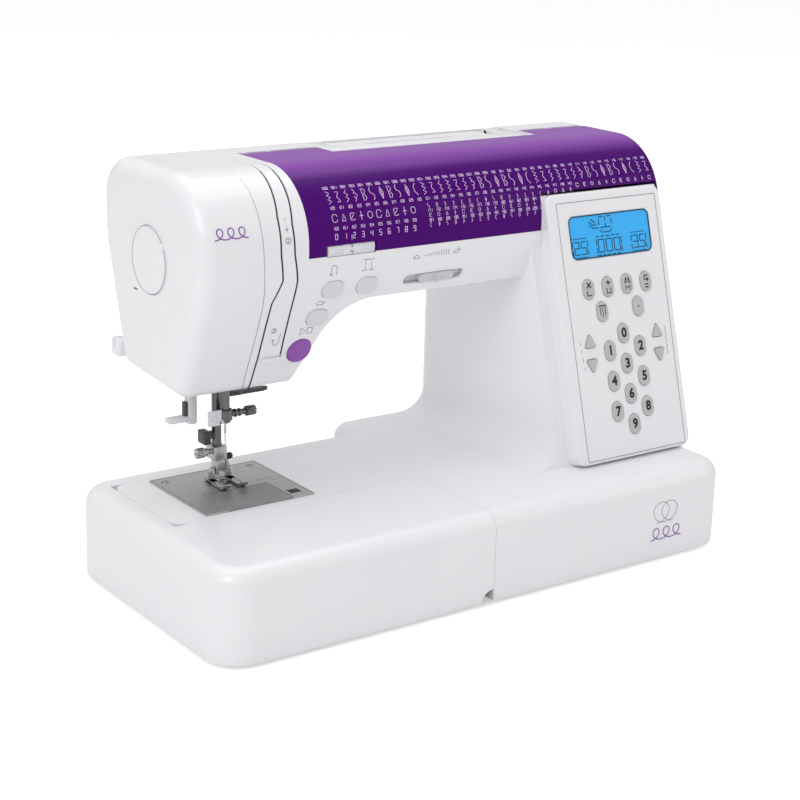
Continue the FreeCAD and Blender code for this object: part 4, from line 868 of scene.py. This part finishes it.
holderLook = {"left": 82.2, "right": 92.4, "front": 152.5, "back": 166, "low": 83, "high": 93.4, "screw": 89}
arms = [addBlock((x, 150, 73.6), (x + 2.2, 158, 84), 0.5)
        for x in (holderLook["left"], holderLook["right"] - 2.2)]
arms = [carved(arm, addCross(80, 95, hingeAt, 1.05, 24)) for arm in arms]
screwZ = holderLook["screw"]
screw = [carved(addKnurled(70.6, 77.2, (presserY, screwZ), 3.7, 16, 0.07, 0.5),
                addBlock((60, presserY - 6, screwZ - 0.5), (71.8, presserY + 6, screwZ + 0.5))),
         addCross(77, 79.3, (presserY, screwZ), 2.9, 32, 0.3), addCross(76, 82.5, (presserY, screwZ), 2, 24)]
holder = joined([addBlock((holderLook["left"], holderLook["front"], holderLook["low"]),
                          (holderLook["right"], holderLook["back"], holderLook["high"]), 0.9),
                 addBlock((84.6, 150.8, 77.5), (90, 156, 84), 0.6)] + arms + screw)
finished(holder, "footHolderDetail", "presser_set", "holderSteel")
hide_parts("foot_holder")

toe = [(155, 67.9), (138, 67.9), (134.6, 68.3), (132.6, 69.6), (131.2, 72), (132, 72.7), (134.3, 70.9),
       (137, 69.9), (155, 69.9)]
footParts = [addProfile(toe, needleX + side, needleX + side + 6, 0.35) for side in (-10, 4)]
footParts.append(carved(addBlock((77.3, 148.5, 67.85), (97.3, 155.2, 69.9), 0.4),
                        addRod((needleX, 148.5, 60), (needleX, 148.5, 80), 3.2, 32)))
footParts.append(addBlock((77.3, 154.6, 69.2), (97.3, 160.8, 70.4), 0.4))
cheek = [(151, 69.2), (151, 76.5), (152.6, 78.6), (155.4, 78.6), (157.2, 76.5), (157.6, 69.2)]
footParts += [addProfile(cheek, x, x + 1.9, 0.3) for x in (79.6, 93.2)]
footParts.append(addCross(79.8, 94.9, hingeAt, 0.98, 20))
foot = joined(footParts)
finished(foot, "zigzagFoot", "foot", "footChrome")
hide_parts("presser_foot")

threaderLook = {"foot": 112.2, "thumb": 114.6, "left": 48}
threader = joined([
    addRod((67.3, presserY, 120), (67.3, presserY, 175.6), 1.95, 28),
    addBlock((63.4, 155.4, threaderLook["foot"]), (70.2, 162.6, 136), 1.2),
    addBlock((threaderLook["left"], 155.2, threaderLook["thumb"]),
             (66, 162.8, threaderLook["thumb"] + 3.9), 1.2)])
finished(threader, "threaderDetail", "threader", "threaderWhite")
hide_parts("needle_threader")
finished(addBlock((60.8, 156.4, 118.2), (63.2, 161, 128.6), 0.4), "threaderStripe", "threader", "lifterGrey")

lifterLook = {"low": 123.6, "thick": 2.6, "back": 174.6, "front": 167.4}
blade = [(100.6, 0), (104.4, 3.8), (112, 3.2), (122, 3), (131, 2.6), (135.9, 0.6), (135.4, -1.8), (131, -3.4),
         (120, -3.2), (108, -3.6), (103, -3.4), (100.8, -1.6)]
middle = (lifterLook["back"] + lifterLook["front"]) / 2
bladePiece = flatShape([[(x - 231, middle + across - 118.5) for x, across in blade]], lifterLook["thick"])
placed(bladePiece, Matrix.Translation((0, 0, lifterLook["low"] / 1000)))
lifter = joined([soften(bladePiece, 0.5, 2), addRod((104.3, 171, 124), (104.3, 171, 147.8), 3.9, 32, 0.4)])
finished(lifter, "lifterDetail", "lifter", "lifterGrey")
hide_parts("presser_lifter")

knob = joined([addBlock((93.3, 155.2, 81.7), (95.4, 162.8, 85.2), 0.4), addBall((96.7, 157, 84), 2.5, 14),
               addRod((94.6, 157, 84), (96.6, 157, 84), 1.3, 20)])
finished(knob, "releaseKnob", "release", "releaseBlack")
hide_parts("foot_release")
print("stage: sewing point")

# needle plate and bobbin cover
plateTop = 67.5
plateLines = [[(46, 100), (46, 179), (130, 179), (130, 100)]]
plateLines += [[(x, 141), (x, 144.5)] for x in (106, 110, 114, 118, 122)]
finished(strokes([[spot(x, y, plateTop + 0.02) for x, y in line] for line in plateLines], 0.14), "plateLines",
         "machine", "slotShade")
screws = joined([addSlotHead((x, y, plateTop - 0.4), 3.1, 1) for x, y in ((53, 171), (123, 172))])
finished(screws, "plateScrews", "machine", "footChrome")
# painted shade: a black sheet laid level with the plate's top stands for the dark inside of its slots
shade = addBlock((116.4, 106, plateTop - 0.3), (125, 113.4, plateTop + 0.04), 0.02)
finished(shade, "plateSlotShade", "machine", "inkBlack")
ridges = joined([addBlock((68 + step * 2.6, 101.4, plateTop - 0.1),
                          (69.2 + step * 2.6, 105.4, plateTop + 0.35), 0.12) for step in range(6)])
finished(ridges, "coverRidges", "slide_cover", "smokedWindow")

# dials, wheel and slider
dialLook = {"left": 137.5, "right": 175.5, "y": 103.6, "z": 238.2, "radius": 7.95, "digits": 7.72}
middle = (dialLook["left"] + dialLook["right"]) / 2
dialAt = (dialLook["y"], dialLook["z"])
dial = joined([addKnurled(dialLook["left"], middle - 7, dialAt, dialLook["radius"], 30, 0.07, 0.3),
               addCross(middle - 7.2, middle + 7.2, dialAt, dialLook["radius"] - 0.25, 72, 0.2),
               addKnurled(middle + 7, dialLook["right"], dialAt, dialLook["radius"], 30, 0.07, 0.3)])
finished(dial, "tensionDialDetail", "tension", "dialGrey")
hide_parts("tension_dial")
dialMarks = []
for number in range(10):
    turn = math.tau * (number - 5) / 10
    for bar in digitLines(str(number), -0.9, -1.6, 1.8, 3.2, 0):
        points = []
        for x, up in bar:
            angle = turn + math.radians(25) + up / dialLook["radius"]
            points.append(spot(middle + x, dialLook["y"] - dialLook["digits"] * math.cos(angle),
                               dialLook["z"] + dialLook["digits"] * math.sin(angle)))
        dialMarks.append(points)
finished(strokes(dialMarks, 0.2), "tensionDigits", "tension", "inkBlack")

wheelLook = {"y": 160, "z": 216, "radius": 33, "marks": 19}
wheelAt = (wheelLook["y"], wheelLook["z"])
wheel = joined([
    carved(addKnurled(443, 456, wheelAt, wheelLook["radius"], 60, 0.025, 0.5),
           addCross(430, 470, wheelAt, 26, 64)),
    addCross(440.4, 443.2, wheelAt, 31.4, 96, 0.8), addCross(455.8, 461, wheelAt, 31.6, 96, 2.4),
    addCross(441, 458, wheelAt, 26.4, 64)])
finished(wheel, "handwheelDetail", "drive", "dialGrey")
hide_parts("handwheel")
dimples = []
for turn in (0.4, 0.4 + math.tau / 3, 0.4 + math.tau * 2 / 3):
    dimpleAt = (wheelLook["y"] + wheelLook["marks"] * math.cos(turn),
                wheelLook["z"] + wheelLook["marks"] * math.sin(turn))
    dimples.append(addCross(460.6, 461.6, dimpleAt, 3.2, 24, 0.3))
dimple = joined(dimples)
finished(dimple, "wheelMarks", "drive", "slideGrey")
print("stage: dials and wheel")
trackLook = {"x": 231.5, "z": 210.4, "length": 76, "height": 11.4, "out": -3.4, "thick": 0.3}
shutter = flatShape([ring(trackLook["length"], trackLook["height"], 1)], trackLook["thick"])
placed(shutter, coverFrame(trackLook["x"], runAt(trackLook["z"]), trackLook["out"]))
finished(shutter, "sliderShutter", "speed", "basePlastic")

discLook = {"x": 39.1, "y": 166, "z": 229.5, "radius": 23.3, "line": 0.16}
circle = [spot(discLook["x"], discLook["y"] + discLook["radius"] * math.cos(math.tau * step / 72),
               discLook["z"] + discLook["radius"] * math.sin(math.tau * step / 72)) for step in range(72)]
finished(strokes([circle], discLook["line"], closed=True), "pressureRing", "pressure", "inkGrey")
tab = addBlock((38.9, 145.4, 239), (40.4, 149.6, 244.4), 0.4)
mark = addBlock((39.7, 184, 205), (40.1, 189, 206.2), 0.1)
finished(tab, "pressureTab", "pressure", "whiteBody")
finished(mark, "pressureMark", "machine", "inkGrey")
cutter = carved(addBlock((38.4, 211, 151), (46, 222, 164), 1.4), addBlock((30, 216, 157), (50, 217.4, 170)))
finished(cutter, "threadCutter", "machine", "whiteBody")

handleLook = {"left": 192, "right": 368, "front": 172, "depth": 15, "arm": 12, "pivot": 210, "low": 281.6,
              "thick": 9.8, "corner": 9}
left, right, front, pivot = (handleLook[key] for key in ("left", "right", "front", "pivot"))
bend, arm = handleLook["corner"], handleLook["arm"]
grip = arc(left + bend, front + bend, bend, 180, 270, 6) + arc(right - bend, front + bend, bend, 270, 360, 6)
grip += [(right, pivot), (right - arm, pivot), (right - arm, front + handleLook["depth"]),
         (left + arm, front + handleLook["depth"]), (left + arm, pivot), (left, pivot)]
grip = flatShape([[(x - 231, y - 118.5) for x, y in grip]], handleLook["thick"])
placed(grip, Matrix.Translation((0, 0, handleLook["low"] / 1000)))
pivotAt = (pivot, 286.5)
eyes = []
for start, end, pinFrom, out in ((left, left + arm, left, 188.6), (right - arm, right, right, 371.4)):
    eyes.append(addCross(start, end, pivotAt, 4.95, 40, 0.5))
    eyes.append(addCross(pinFrom, out, pivotAt, 1.98, 24))
handle = joined([soften(grip, 2.2, 4)] + eyes)
finished(handle, "carryHandleDetail", "handle", "whiteBody")
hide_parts("carry_handle")

# seam of the end cover, and painted shade: dark strokes down the depth of the two thread slots
seamPath = [(86.2, 291), (86.2, 275), (86.3, 256), (87.4, 232), (88.4, 222), (90.6, 205), (90.9, 188),
            (90, 158), (89.8, 134)]
slotDepthShadePaths = [[(105.4, 290), (103.5, 282), (100.2, 264), (100.4, 240), (102.6, 222), (97.3, 206), (96.9, 190),
              (96.7, 165), (95.3, 140)],
             [(115, 290), (113, 275), (110.4, 259), (111.1, 239), (114.2, 221), (114, 197), (114.2, 175),
              (114.7, 165)]]


def onFront(path, out, step=4):  # short steps down the arm's front through (x, z) points
    points = []
    for (x1, z1), (x2, z2) in zip(path[:-1], path[1:]):
        count = max(1, round((z1 - z2) / step))
        points += [coverSpot(x1 + (x2 - x1) * k / count, runAt(z1 + (z2 - z1) * k / count), out)
                   for k in range(count)]
    return points + [coverSpot(path[-1][0], runAt(path[-1][1]), out)]


finished(strokes([onFront(seamPath, -0.05)], 0.26), "endCoverSeam", "machine", "inkGrey")
# painted shade: near-black strokes sunk into the two thread slots stand for the shade inside them
finished(strokes([onFront(path, -0.3) for path in slotDepthShadePaths], 0.5), "slotDepthShadeStrokes", "machine", "paintedSlotDepthShade")
lip = addBlock((99.6, 117.2, 160.8), (113.6, 119.8, 163.4), 0.7)
finished(lip, "guideLip", "machine", "whiteBody")

# small plain flourishes on the head and the base


def loops(x, z, wide, high, turns, steps=48):  # a thread that loops along a line
    points = []
    for step in range(steps + 1):
        part = step / steps
        turn = math.tau * turns * part
        points.append((x + wide * part + high * 0.6 * math.sin(turn),
                       z + high * (0.5 - 0.5 * math.cos(turn))))
    return points


headThread = [coverSpot(x, runAt(z), 0.05) for x, z in loops(51, 254, 25, 7, 3)]
finished(strokes([headThread], 0.42), "headFlourish", "machine", "markPurple")
baseThreads = [[spot(x, -0.05, z) for x, z in loops(361, 17, 30, 9, 3)],
               [spot(x, -0.05, z) for x, z in loops(366, 30, 16, 16, 2)]]
finished(strokes(baseThreads[:1], 0.4), "baseFlourish", "machine", "markPurple")
finished(strokes(baseThreads[1:], 0.2), "baseSpray", "machine", "inkGrey")
print("stage: marks")
print("stage: done")
